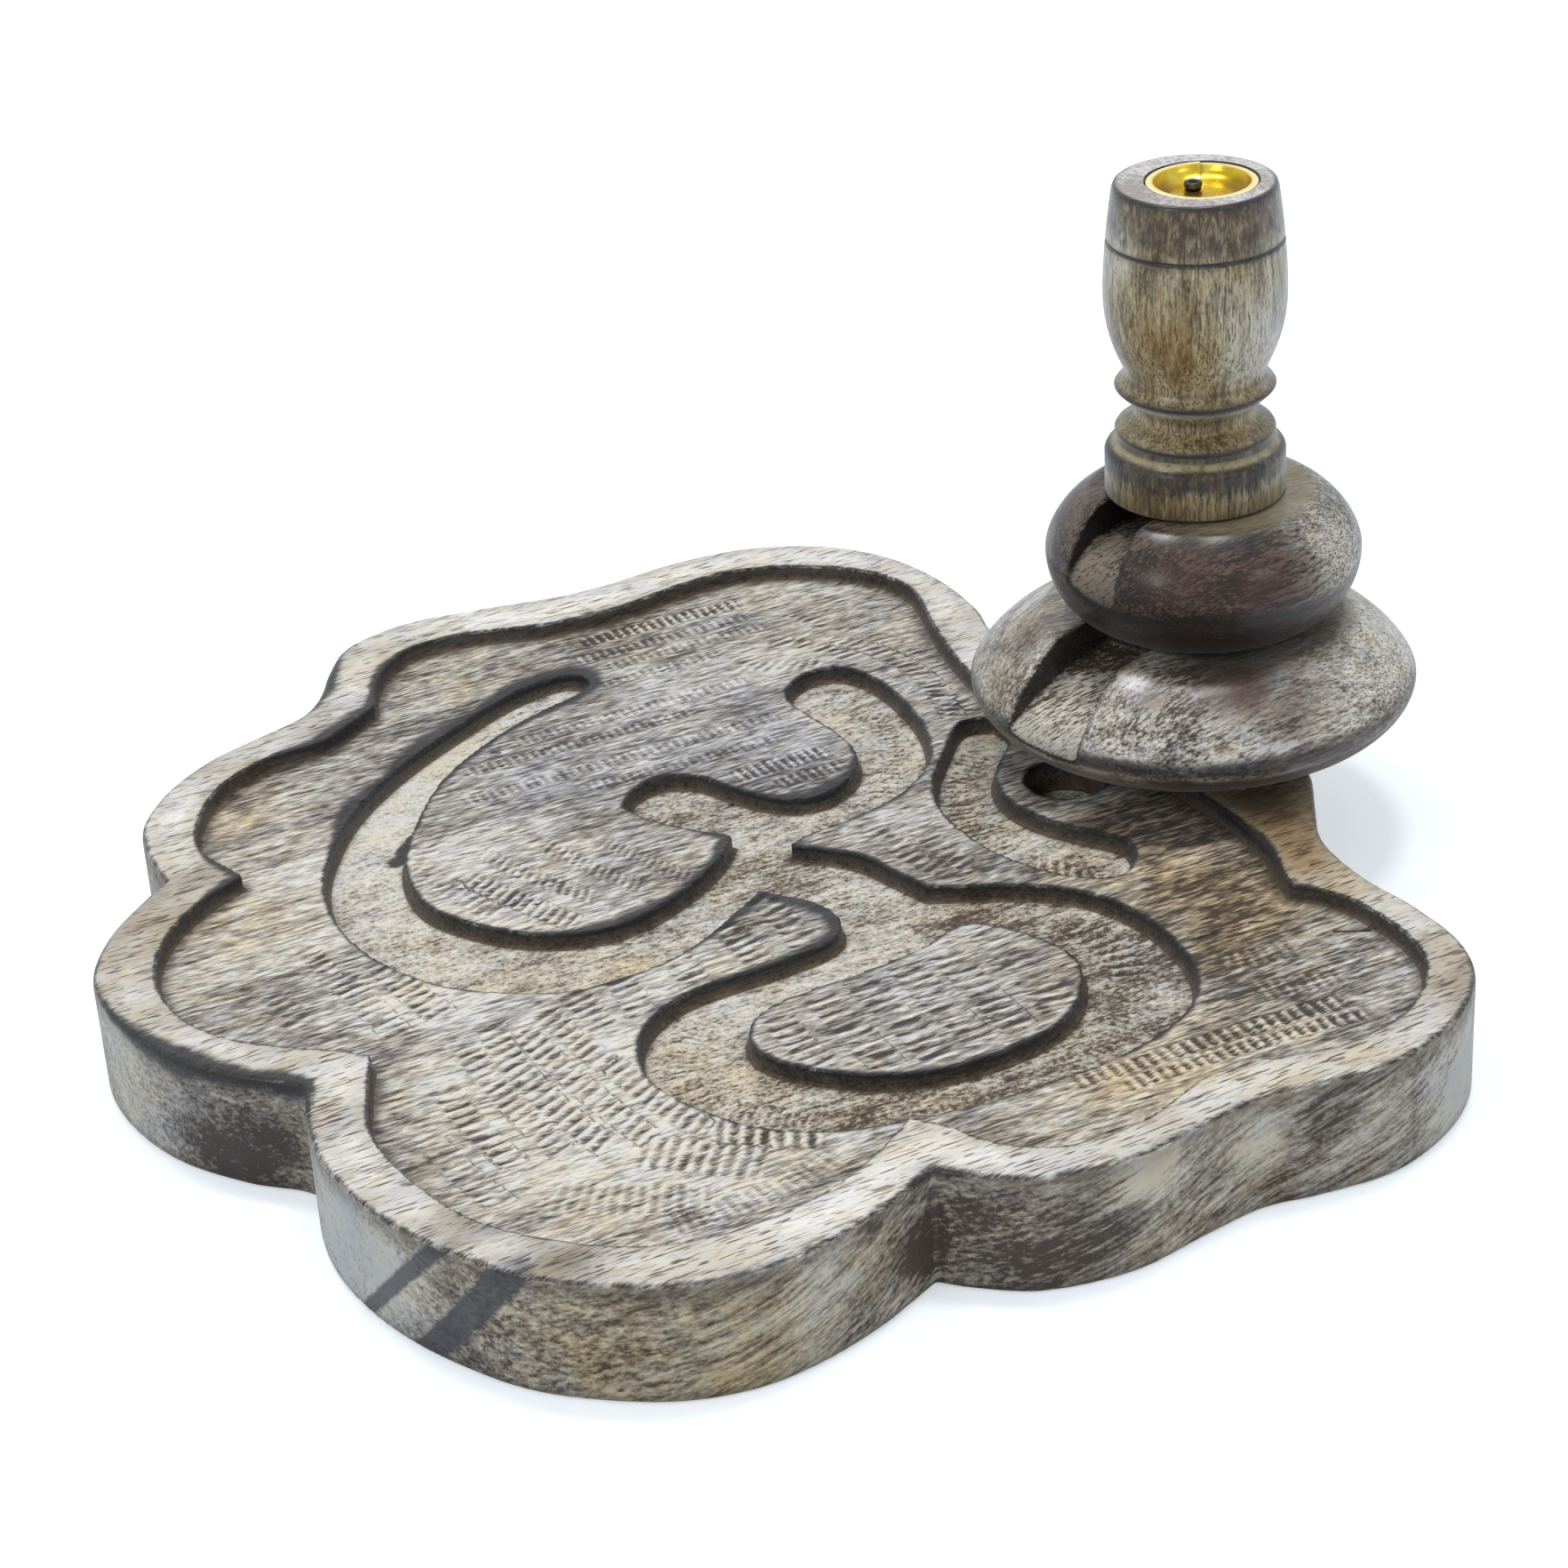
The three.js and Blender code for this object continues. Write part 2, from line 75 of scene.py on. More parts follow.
def placeCamera():
    data = bpy.data.cameras.new("camera")
    data.lens = camera["focal"]
    data.sensor_width = 36
    data.clip_start = 0.01
    eye = bpy.data.objects.new("camera", data)
    bpy.context.scene.collection.objects.link(eye)
    turnAbout = Matrix.Rotation(math.radians(camera["azimuth"]), 4, "Z")
    tilt = Matrix.Rotation(math.radians(90 - camera["pitch"]), 4, "X")
    roll = Matrix.Rotation(math.radians(camera["roll"]), 4, "Z")
    eye.matrix_world = Matrix.Translation(camera["place"]) @ turnAbout @ tilt @ roll
    bpy.context.scene.camera = eye


# Small helpers for modelling with operators
def pick(piece):  # select one piece alone and make it active
    bpy.ops.object.select_all(action="DESELECT")
    piece.select_set(True)
    bpy.context.view_layer.objects.active = piece


def applied(piece, kind, **settings):  # add a modifier and apply it at once
    modifier = piece.modifiers.new(kind.lower(), kind)
    for key, value in settings.items():
        setattr(modifier, key, value)
    pick(piece)
    bpy.ops.object.modifier_apply(modifier=modifier.name)


def remeshed(piece, voxel):  # even facets of a size in mm
    size = voxel * 1
    applied(piece, "REMESH", mode="VOXEL", voxel_size=size * mm, adaptivity=0)


def drawnChain(name, steps):  # one vertex, extruded from point to point
    bpy.ops.object.select_all(action="DESELECT")
    bpy.ops.mesh.primitive_plane_add(size=mm)
    piece = bpy.context.object
    piece.name = name
    bpy.ops.object.mode_set(mode="EDIT")
    bpy.ops.mesh.select_all(action="SELECT")
    bpy.ops.mesh.merge(type="CENTER")
    bpy.ops.transform.translate(value=steps[0])
    for here, there in zip(steps, steps[1:]):
        step = [b - a for a, b in zip(here, there)]
        bpy.ops.mesh.extrude_vertices_move(TRANSFORM_OT_translate={"value": step})
    return piece


def turned(name, profile, around, sides):  # a profile of (radius, height) in mm, spun about an axis
    piece = drawnChain(name, [(radius * mm, 0, height * mm) for radius, height in profile])
    bpy.ops.mesh.select_all(action="SELECT")
    bpy.ops.mesh.spin(steps=sides, angle=2 * math.pi, center=(0, 0, 0), axis=(0, 0, 1))
    bpy.ops.mesh.select_all(action="SELECT")
    bpy.ops.mesh.remove_doubles(threshold=1e-6)
    bpy.ops.mesh.normals_make_consistent(inside=False)
    bpy.ops.transform.translate(value=around)
    bpy.ops.object.mode_set(mode="OBJECT")
    return piece


def drilled(piece, centre, radius, bottom, top):  # a round hole, in metres
    bpy.ops.object.select_all(action="DESELECT")
    middle = (centre[0], centre[1], (bottom + top) / 2)
    bpy.ops.mesh.primitive_cylinder_add(vertices=40, radius=radius, depth=top - bottom, location=middle)
    drill = bpy.context.object
    bpy.ops.object.transform_apply(location=True)
    cutAway(piece, drill)


def cutAway(piece, tool):
    applied(piece, "BOOLEAN", operation="DIFFERENCE", solver="EXACT", object=tool)
    bpy.data.objects.remove(tool)


def corners(piece):  # the vertices as an array
    places = np.empty(len(piece.data.vertices) * 3)
    piece.data.vertices.foreach_get("co", places)
    return places.reshape(-1, 3)


def setCorners(piece, places):
    piece.data.vertices.foreach_set("co", places.ravel())
    piece.data.update()


def facing(piece):  # the vertices' normals as an array
    normals = np.empty(len(piece.data.vertices) * 3)
    piece.data.vertex_normals.foreach_get("vector", normals)
    return normals.reshape(-1, 3)


def about(piece, centre):  # the vertices in mm from a centre, their reach and their bearing
    offset = corners(piece) / mm - np.array(centre) / mm
    across, back = offset[:, 0], offset[:, 1]
    return offset, np.hypot(across, back), np.degrees(np.arctan2(back, across))


def paint(piece, **layers):  # store numbers on the vertices, each set under its name
    for name, values in layers.items():
        layer = piece.data.attributes.new(name, "FLOAT", "POINT")
        layer.data.foreach_set("value", np.ascontiguousarray(values, dtype=np.float32))


def dress(piece, finish, node, crease=None):  # shading, a finish, and the node that it stands for
    if crease:  # degrees: edges that turn more stay sharp
        pick(piece)
        bpy.ops.object.shade_smooth_by_angle(angle=math.radians(crease))
    else:
        piece.data.polygons.foreach_set("use_smooth", np.ones(len(piece.data.polygons), bool))
    piece.data.materials.clear()
    piece.data.materials.append(finish)
    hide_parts(node)
    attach(piece, "root")


def ramp(values, low, high):  # smooth step from 0 at low to 1 at high
    t = np.clip((values - low) / (high - low), 0, 1)
    return t * t * (3 - 2 * t)


def waver(points, size, seed):  # smooth noise from about -1 to 1, at a feature size in mm
    shift = Vector((seed * 17.3, seed * 5.1, seed * 9.7))
    return np.array([noise.noise(Vector(point) / size + shift) for point in points])


# Shader maths: a wire carries one socket's value and knows the usual operators
def operator(kind, swapped=False):
    def method(self, *others):
        inputs = [*others, self] if swapped else [self, *others]
        return self.finish.node("ShaderNodeMath", {"operation": kind}, inputs)
    return method


class Wire:
    def __init__(self, finish, socket):
        self.finish = finish
        self.socket = socket

    __add__ = __radd__ = operator("ADD")
    __mul__ = __rmul__ = operator("MULTIPLY")
    __sub__ = operator("SUBTRACT")
    __rsub__ = operator("SUBTRACT", swapped=True)
    __truediv__ = operator("DIVIDE")
    __pow__ = operator("POWER")
    lower = operator("MINIMUM")
    upper = operator("MAXIMUM")
    size = operator("ABSOLUTE")
    sine = operator("SINE")

    def step(self, low, high):  # smooth step from 0 at low to 1 at high
        settings = {"interpolation_type": "SMOOTHSTEP"}
        return self.finish.node("ShaderNodeMapRange", settings, [self, low, high])


class Finish:  # the nodes of a material or of the world
    def __init__(self, name, tones=None, kind="materials"):
        self.owner = getattr(bpy.data, kind).new(name)
        self.owner.use_nodes = True
        self.nodes = self.owner.node_tree.nodes
        self.links = self.owner.node_tree.links
        self.nodes.clear()
        self.tones = tones
        self.place = self.node("ShaderNodeTexCoord", {}, [], "Object")

    def node(self, kind, settings, inputs, output=0):
        made = self.nodes.new(kind)
        for key, value in settings.items():
            setattr(made, key, value)
        pairs = inputs.items() if isinstance(inputs, dict) else enumerate(inputs)
        for key, value in pairs:
            if isinstance(value, Wire):
                self.links.new(value.socket, made.inputs[key])
            else:
                made.inputs[key].default_value = value
        return Wire(self, made.outputs[output]) if len(made.outputs) else None

    def painted(self, *names):  # numbers stored on the vertices
        return [self.node("ShaderNodeAttribute", {"attribute_name": name}, [], "Fac") for name in names]

    def noise(self, size, detail, roughness, turn=(0, 0, 0), distortion=0.0):  # size in mm, about 0
        inputs = {"Vector": self.place, "Rotation": [math.radians(angle) for angle in turn],
                  "Scale": [length * mm for length in size]}
        place = self.node("ShaderNodeMapping", {"vector_type": "TEXTURE"}, inputs)
        inputs = {"Vector": place, "Scale": 1.0, "Detail": detail, "Roughness": roughness,
                  "Distortion": distortion}
        return self.node("ShaderNodeTexNoise", {}, inputs, "Fac") - 0.5

    def near(self, centre, reach):  # 1 at a place in mm, fading to 0 past its reach
        centre = [length * mm for length in centre]
        gap = self.node("ShaderNodeVectorMath", {"operation": "DISTANCE"}, [self.place, centre], "Value")
        return gap.step(1.7 * reach * mm, 0)

    def spots(self, places):  # soft patches added up, each with a place, a reach, a strength
        return sum(self.near(centre, reach) * strong for *centre, reach, strong in places)

    def along(self, axis):  # the distance along an axis, in mm
        return self.node("ShaderNodeSeparateXYZ", {}, [self.place], axis) / mm

    def tone(self, colour):  # a colour, or one of the tones by its name
        return self.tones[colour] if isinstance(colour, str) else colour

    def ramp(self, value, stops):
        made = self.node("ShaderNodeValToRGB", {}, [value], "Color")
        elements = made.socket.node.color_ramp.elements
        while len(elements) < len(stops):
            elements.new(1)
        for element, (position, colour) in zip(elements, stops):
            element.position = position
            element.color = self.tone(colour)
        return made

    def mix(self, amount, first, second, way="MIX"):  # inputs 6 and 7 and output 2 are its colours
        settings = {"data_type": "RGBA", "blend_type": way, "clamp_factor": True}
        inputs = {"Factor": amount, 6: self.tone(first), 7: self.tone(second)}
        return self.node("ShaderNodeMix", settings, inputs, 2)

    def over(self, amount, colour, way="MIX"):  # lay a colour over the finish so far
        self.colour = self.mix(amount, self.colour, colour, way)

    def done(self, roughness, height, depth, coat=0.0, metallic=0.0, sheen=0.0):
        bumps = {"Strength": 1.0, "Distance": depth, "Height": height}
        normal = self.node("ShaderNodeBump", {}, bumps)
        wooden = isinstance(metallic, float) and metallic == 0
        inputs = {"Base Color": self.colour, "Roughness": roughness, "Metallic": metallic,
                  "Coat Weight": coat, "Coat Roughness": 0.22, "Normal": normal,
                  "Specular IOR Level": 0.3 if wooden else 0.5,
                  "Sheen Weight": sheen, "Sheen Roughness": 0.4, "Sheen Tint": (0.86, 0.94, 1, 1)}
        surface = self.node("ShaderNodeBsdfPrincipled", {}, inputs)
        self.node("ShaderNodeOutputMaterial", {}, {"Surface": surface})
        return self.owner


# Tray
tray = {
    "voxel": 0.5,  # mm, the mesh that the marks are cut in
    "thickness": 20.0,
    "edgeRound": 0.8,
    "pocket": 3.0,  # depths of the pocket, the trough and the drop dot
    "trough": 3.0,
    "dot": 5.5,
    "faces": 190000,
    "markDepth": 0.42,
}

# Rows of tool marks: the way along a row as three points, then the marks' length across it,
# their spacing, their depth from 0 to 1, and how far they lean from square, in degrees
markRows = [
    ((44, -52), (56, -50.5), (68, -47.5), 4.6, 2.25, 0.9, 18),
    ((26, -55), (36, -54), (46, -52.5), 4.2, 2.2, 0.8, 19),
    ((29, -60), (47, -58.5), (66, -55.5), 4.2, 2.3, 0.9, 19),
    ((25, -63.5), (45, -64.5), (65, -61.5), 4.6, 2.35, 1.0, 20),
    ((28, -69), (45, -69.5), (63, -67.5), 4.0, 2.2, 0.8, 16),
    ((38, -76), (49, -76.3), (62, -74.8), 4.2, 2.4, 1.0, 0),
    ((35, -82.5), (53, -83), (71, -80), 4.4, 1.7, 0.45, 0),
    ((-2, -71.5), (9, -70.5), (19, -68.5), 5.0, 2.1, 0.9, 6),
    ((-1, -78.5), (10, -77.5), (21, -76.5), 4.8, 2.0, 0.8, 8),
    ((-12, -80), (-5, -79.5), (1, -79), 3.4, 1.9, 0.8, 10),
    ((-1, -90), (5, -89), (11, -88), 5.0, 2.1, 0.5, 10),
    ((12, -12), (21, -11), (30, -12), 5.0, 2.3, 0.7, 12),
    ((17, -20), (24, -20), (31, -20.5), 5.0, 2.2, 0.8, 14),
    ((21, -31), (27, -31), (33, -32), 5.0, 2.2, 0.7, 16),
    ((21, -41), (28, -41.5), (35, -42.5), 4.6, 2.1, 0.9, 12),
    ((21, -49), (28, -49), (35, -49), 4.6, 2.1, 0.7, 10),
    ((43, 6), (55, 5), (69, 5), 5.6, 2.5, 0.75, 3),
    ((42, -1.5), (55, -2), (69, -2), 5.6, 2.4, 0.7, 4),
    ((42, -9.5), (55, -9.5), (70, -9.5), 5.6, 2.5, 0.75, 4),
    ((44, -17), (55, -17), (67, -17), 5.4, 2.4, 0.7, 3),
    ((46, -25), (54, -25.5), (62, -25), 5.0, 2.3, 0.8, 3),
    ((40, 14), (53, 14), (65, 13), 5.6, 2.5, 0.6, 2),
    ((69, -46.5), (73.5, -40.5), (78, -34), 6.5, 2.25, 1.0, 8),
    ((68, -58), (74, -51), (80, -44), 8.5, 2.15, 0.7, 2),
    ((71, -74), (78, -65), (84, -54), 7.5, 1.9, 0.35, 0),
    ((85, 4), (85.5, 28), (86.5, 50), 3.8, 2.05, 0.75, 0),
    ((89.5, 10), (89.5, 30), (91, 51), 3.4, 1.95, 0.75, 0),
    ((83.5, -34), (87, -48), (87, -62), 5.0, 1.7, 0.3, 0),
    ((67, 40), (69, 46), (70, 53), 5.0, 1.9, 0.35, 0),
    ((78, 40), (79, 46), (80, 54), 5.5, 1.8, 0.3, 0),
    ((-89, 2), (-89, 18), (-88.5, 34), 3.8, 1.75, 0.85, 0),
    ((-82.5, -2), (-82.5, 16), (-82.5, 33), 3.2, 1.7, 0.5, 0),
    ((-77.5, 2), (-77.5, 18), (-77.5, 34), 3.4, 1.65, 0.4, 0),
    ((-71.5, -2), (-71.5, 10), (-71.5, 22), 3.4, 1.65, 0.35, 0),
    ((-59, -24), (-59, 0), (-59, 22), 3.4, 1.6, 0.35, 0),
    ((-53, -36), (-53, -14), (-53, 8), 3.2, 1.6, 0.4, 0),
    ((-43.5, -40), (-43.5, -12), (-43.5, 20), 3.4, 1.65, 0.4, 0),
    ((-27, 3), (-27, 12), (-27, 21), 4.6, 1.6, 0.75, 0),
    ((-21, 8), (-21, 14), (-21, 21), 3.6, 1.6, 0.6, 0),
    ((-37, -20), (-36, -2), (-36, 16), 3.2, 1.6, 0.35, 0),
    ((-26, -44), (-14, -40), (-2, -34), 3.8, 1.7, 0.5, 24),
    ((-19, -49), (-9, -45.5), (4, -40), 4.4, 1.9, 0.95, 14),
    ((-33, -51), (-21, -53), (-5, -49.5), 4.0, 1.9, 0.6, 8),
    ((-23, -34), (-13, -31), (-1, -26), 3.6, 1.6, 0.45, 24),
    ((-19, -25), (-9, -22), (1, -18), 3.4, 1.5, 0.4, 24),
    ((-65, 42), (-47, 48.5), (-26, 45.5), 4.2, 1.95, 0.7, -14),
    ((-71, 33), (-63, 38.5), (-55, 43), 3.8, 1.9, 0.65, -24),
    ((-79, 38), (-67, 47), (-51, 52), 3.6, 1.8, 0.4, -18),
    ((-33, 49), (-29, 50), (-26, 49.5), 3.0, 1.9, 0.6, -4),
    ((-65, 22), (-60, 30), (-58, 36), 4.0, 2.0, 0.55, -30),
    ((-47, 33.5), (-29, 34.5), (-12, 24), 3.8, 1.65, 0.8, 0),
    ((-10.5, 22), (-8.5, 14), (-6.5, 7), 3.4, 1.7, 0.5, 0),
    ((-33, -5), (-27, -12), (-19, -10), 3.2, 1.8, 0.5, 20),
    ((-17, 46), (-3, 33), (17, 31), 5.2, 1.6, 0.65, 0),
    ((21, 33.5), (26, 36), (33, 40), 6.2, 2.2, 0.9, 30),
    ((39, 28.5), (51, 31), (61, 28.5), 5.8, 2.45, 1.0, 0),
    ((65, 27), (71, 21), (76, 12), 4.2, 1.5, 0.45, 0),
    ((37, -32), (53, -43.5), (70, -31), 4.4, 1.35, 0.55, 0),
    ((71, -29), (75, -22), (77, -12), 4.2, 1.5, 0.35, 0),
    ((3, 22), (13, 21), (23, 23), 4.4, 2.1, 0.7, 6),
    ((-1, 15), (9, 15.5), (21, 18), 4.4, 2.1, 0.6, 8),
    ((37, 47), (47, 47), (57, 45), 4.0, 2.0, 0.3, 6),
]


def wallLoops(piece, height):  # closed plan outlines, in mm, of the walls that meet a height
    surface = bmesh.new()
    surface.from_mesh(piece.data)
    beside = {}
    for edge in surface.edges:
        level = all(abs(vertex.co.z / mm - height) < 0.02 for vertex in edge.verts)
        slopes = sorted(abs(face.normal.z) for face in edge.link_faces)
        if level and len(slopes) == 2 and slopes[0] < 0.1 and slopes[1] > 0.3:
            a, b = edge.verts
            beside.setdefault(a, []).append(b)
            beside.setdefault(b, []).append(a)
    loops = []
    while beside:
        start = next(iter(beside))
        loop, here, last = [], start, None
        while here is not None:
            loop.append((here.co.x / mm, here.co.y / mm))
            onward = [vertex for vertex in beside.pop(here) if vertex is not last and vertex in beside]
            last, here = here, (onward[0] if onward else None)
        loops.append(np.array(loop))
    surface.free()
    return [loop for loop in loops if len(loop) > 12]


class Outline:  # a wall's plan outline, its smooth form and the way to it
    def __init__(self, points, spacing=0.4):
        self.points = points
        before, after = np.roll(points, 1, 0), np.roll(points, -1, 0)
        inward, outward = points - before, after - points
        bearing = np.arctan2(outward[:, 1], outward[:, 0]) - np.arctan2(inward[:, 1], inward[:, 0])
        turn = np.abs((bearing + np.pi) % (2 * np.pi) - np.pi)
        beside = np.maximum(np.roll(turn, 1), np.roll(turn, -1))
        sharp = ((turn > math.radians(24)) & (beside < 0.62 * turn))[:, None]
        smooth = (after - before) / 2
        self.leaving = np.where(sharp, outward, smooth)
        self.arriving = np.roll(np.where(sharp, inward, smooth), -1, 0)
        self.rise = after - points
        lengths = np.linalg.norm(self.rise, axis=1)
        samples, self.segment, self.share = [], [], []
        for i, length in enumerate(lengths):
            for share in np.arange(0, 1, spacing / max(length, spacing)):
                samples.append(points[i] + share * self.rise[i])
                self.segment.append(i)
                self.share.append(share)
        self.segment, self.share = np.array(self.segment), np.array(self.share)
        self.tree = kdtree.KDTree(len(samples))
        for i, (x, y) in enumerate(samples):
            self.tree.insert((x, y, 0), i)
        self.tree.balance()

    def nearest(self, plan):  # distance to the outline, and the nearest sample
        found = [self.tree.find((x, y, 0)) for x, y in plan]
        return np.array([hit[2] for hit in found]), np.array([hit[1] for hit in found])

    def bend(self, plan, samples):  # how far the smooth outline lies from the faceted one
        i, t = self.segment[samples], self.share[samples]
        along = self.rise[i]
        past = ((plan - (self.points[i] + t[:, None] * along)) * along).sum(1)
        t = np.clip(t + past / (along ** 2).sum(1), 0, 1)[:, None]
        first = (t ** 3 - 2 * t ** 2 + t) * self.leaving[i]
        second = (t ** 3 - t ** 2) * self.arriving[i]
        ease = (3 * t ** 2 - 2 * t ** 3 - t) * along
        return ease + first + second


def roundFacets(piece, outlines):  # move the walls on to the smooth outline
    places = corners(piece) / mm
    for outline, low, high in outlines:
        reach = np.where((places[:, 2] > low) & (places[:, 2] < high))[0]
        plan = places[reach, :2]
        apart, samples = outline.nearest(plan)
        weight = (1 - ramp(apart, 1.0, 3.0))[:, None]
        places[reach, :2] += outline.bend(plan, samples) * weight
    setCorners(piece, places * mm)


def bezier(a, b, c, count):
    t = np.linspace(0, 1, count)[:, None]
    through = 2 * np.array(b) - (np.array(a) + np.array(c)) / 2
    return (1 - t) ** 2 * np.array(a) + 2 * t * (1 - t) * through + t ** 2 * np.array(c)


def toolMarks(plan):  # for each point, the marks' strength and its phase along a row
    strength = np.zeros(len(plan))
    phase = np.zeros(len(plan))
    for start, middle, end, length, spacing, depth, lean in markRows:
        way = bezier(start, middle, end, 60)
        near = np.where((plan > way.min(0) - length).all(1) & (plan < way.max(0) + length).all(1))[0]
        if len(near) == 0:
            continue
        points = plan[near]
        steps = np.linalg.norm(np.diff(way, axis=0), axis=1)
        travelled = np.concatenate([[0], np.cumsum(steps)])
        gaps = np.linalg.norm(points[:, None] - way[None], axis=2)
        closest = np.clip(gaps.argmin(1), 0, len(way) - 2)
        ahead = (way[closest + 1] - way[closest]) / steps[closest][:, None]
        offset = points - way[closest]
        along = travelled[closest] + (offset * ahead).sum(1)
        across = ahead[:, 0] * offset[:, 1] - ahead[:, 1] * offset[:, 0]
        along = along + across * math.tan(math.radians(lean))
        inside = ramp(length / 2 - np.abs(across), -0.5, 0.6)
        ends = ramp(along, -0.8, 1.2) * ramp(travelled[-1] - along, -0.8, 1.2)
        here = inside * ends * depth
        better = here > strength[near]
        strength[near[better]] = here[better]
        phase[near[better]] = along[better] / spacing * 2 * math.pi
    return strength, phase


def makeTray():
    piece = bpy.data.objects.new("carved_tray", burner["tray"].data.copy())
    bpy.context.scene.collection.objects.link(piece)
    pick(piece)
    bpy.ops.object.mode_set(mode="EDIT")
    bpy.ops.mesh.select_all(action="SELECT")
    bpy.ops.mesh.remove_doubles(threshold=1e-6)
    bpy.ops.object.mode_set(mode="OBJECT")
    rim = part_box("tray")[1].z / mm
    floor = rim - tray["pocket"]
    bed = floor - tray["trough"]
    outer = Outline(wallLoops(piece, rim - tray["edgeRound"])[0])
    pocket = Outline(max(wallLoops(piece, floor), key=lambda loop: np.ptp(loop, axis=0).sum()))
    troughs = [Outline(loop) for loop in wallLoops(piece, bed)]
    dot = Outline(wallLoops(piece, floor - tray["dot"])[0])
    print("outlines", len(outer.points), len(pocket.points), [len(t.points) for t in troughs])
    remeshed(piece, tray["voxel"])
    walls = [(outer, -1, rim + 1), (pocket, floor - 0.6, rim + 1), (dot, floor - tray["dot"] - 1, floor + 1)]
    walls += [(trough, bed - 1, floor + 1) for trough in troughs]
    roundFacets(piece, walls)
    applied(piece, "SMOOTH", factor=0.5, iterations=2)

    places = corners(piece) / mm
    sunk = (places[:, 2] < floor + 0.4) & (facing(piece)[:, 2] > 0.8) & (places[:, 2] > bed - 0.4)
    chosen = np.where(sunk)[0]
    plan = places[chosen, :2]
    apart = np.min([outline.nearest(plan)[0] for outline in [pocket, dot, *troughs]], axis=0)
    strength, phase = toolMarks(plan)
    wobble = waver(places[chosen], 2.2, 3) * 1.1
    hollow = (0.5 + 0.5 * np.sin(phase + wobble)) ** 1.5 * strength
    rough = 0.22 * waver(places[chosen] * (1.0, 0.3, 1.0), 1.3, 5)
    depth = (hollow + rough) * ramp(apart, 0.3, 1.6)
    places[chosen, 2] -= depth * tray["markDepth"]
    setCorners(piece, places * mm)
    count = len(piece.data.polygons) * 2
    applied(piece, "DECIMATE", ratio=min(1.0, tray["faces"] / count))
    print("tray", count, "triangles thinned to", len(piece.data.polygons))
    paintTray(piece, outer, pocket, troughs, dot, floor, bed)
    dress(piece, trayWood(), "tray")


# Soft patches in mm: place, reach, how much paler or darker, how golden.
# The darker, more golden floor patches around x 17 to 71, y 44 to 59, and those at (-2, 45), are painted
# shadow of the pebbles and the tower
floorTonesAndShadows = [
    (62, -62, 34, 0.2, 0.1), (22, -66, 16, 0.12, 0), (-34, -70, 15, 0.2, 0),
    (-55, -70, 8, 0.15, 0.1), (-22, -82, 11, 0.14, 0.2), (56, -93, 11, -0.22, 0.1),
    (8, -91, 15, -0.14, 0), (28, -86, 9, -0.16, 0), (71, 44, 12, -0.2, 0.3),
    (80, 58, 12, -0.12, 0), (60, 48, 10, -0.1, 0.7), (50, 59, 13, -0.22, 0.75),
    (23, 54, 14, -0.4, 0.6), (58, 19, 7, -0.35, 0.4), (92, 8, 18, 0.1, 0.5),
    (42, 46, 14, -0.02, 0.75), (88, -25, 12, -0.08, 0.2), (28, 28, 7, -0.18, 0.1),
    (4, 23, 8, 0.28, 0), (-72, 44, 14, -0.1, 0.2), (-45, -22, 14, -0.1, -0.5),
    (-58, 24, 10, 0.14, 0), (-40, 4, 30, -0.03, -0.4), (78, -72, 14, -0.04, 0.2),
    (-88, 8, 12, -0.08, 0.3), (60, -2, 16, -0.1, -0.2), (-24, 14, 16, -0.05, -0.5),
    (58, -62, 20, 0.14, 0), (22, -60, 14, 0.12, 0), (78, -50, 9, 0.1, 0),
    (64, -74, 9, 0.1, 0), (86, -38, 6, -0.2, 0.1), (-41, -16, 9, -0.15, 0),
    (-3, -20, 5, -0.15, 0), (66, 6, 6, -0.12, 0), (70, 39, 6, -0.18, 0.2),
    (86, 38, 9, 0.18, 0.1), (85, 64, 8, 0.28, 0), (46, 0, 8, 0.12, 0), (3, -42, 8, 0.15, 0),
    (-6, -54, 7, 0.34, 0), (-2, 45, 6, -0.2, 0.1), (-88, -22, 9, 0.06, 0.5),
    (-58, -74, 9, 0.0, 0.5), (36, -96, 10, -0.1, 0.4), (88, 24, 12, 0.0, 0.5),
    (57, -61, 8, 0.18, 0), (32, -77, 8, 0.14, 0.1), (18, -72, 9, 0.14, 0),
    (-79, -4, 7, 0.16, 0), (-4, -80, 8, 0.12, 0), (-22, -93, 9, 0.1, 0.1), (93, -2, 9, 0.1, 0),
    (24, -6, 6, 0.1, 0),
    (-64, 19, 8, -0.1, 0), (71, -62, 6, -0.14, 0), (67, -45, 6, -0.1, 0),
    (-8, -87, 7, -0.14, 0), (-2, 45, 7, -0.14, 0), (27, 28, 6, -0.12, 0),
    (-50, -63, 8, -0.12, 0), (-23, -20, 8, -0.1, 0), (17, 44, 8, -0.12, 0),
    (-84, -12, 7, -0.12, 0), (-75, -35, 7, -0.2, 0), (76, 36, 9, -0.12, 0),
    (-29, -88, 12, 0.03, 0.4), (-10, -99, 10, 0.02, 0.35), (88, -6, 9, -0.14, 0.1),
    (61, -72, 10, 0.05, 0), (-18, -54, 10, 0.08, 0.15), (54, -1, 9, 0.08, 0),
]
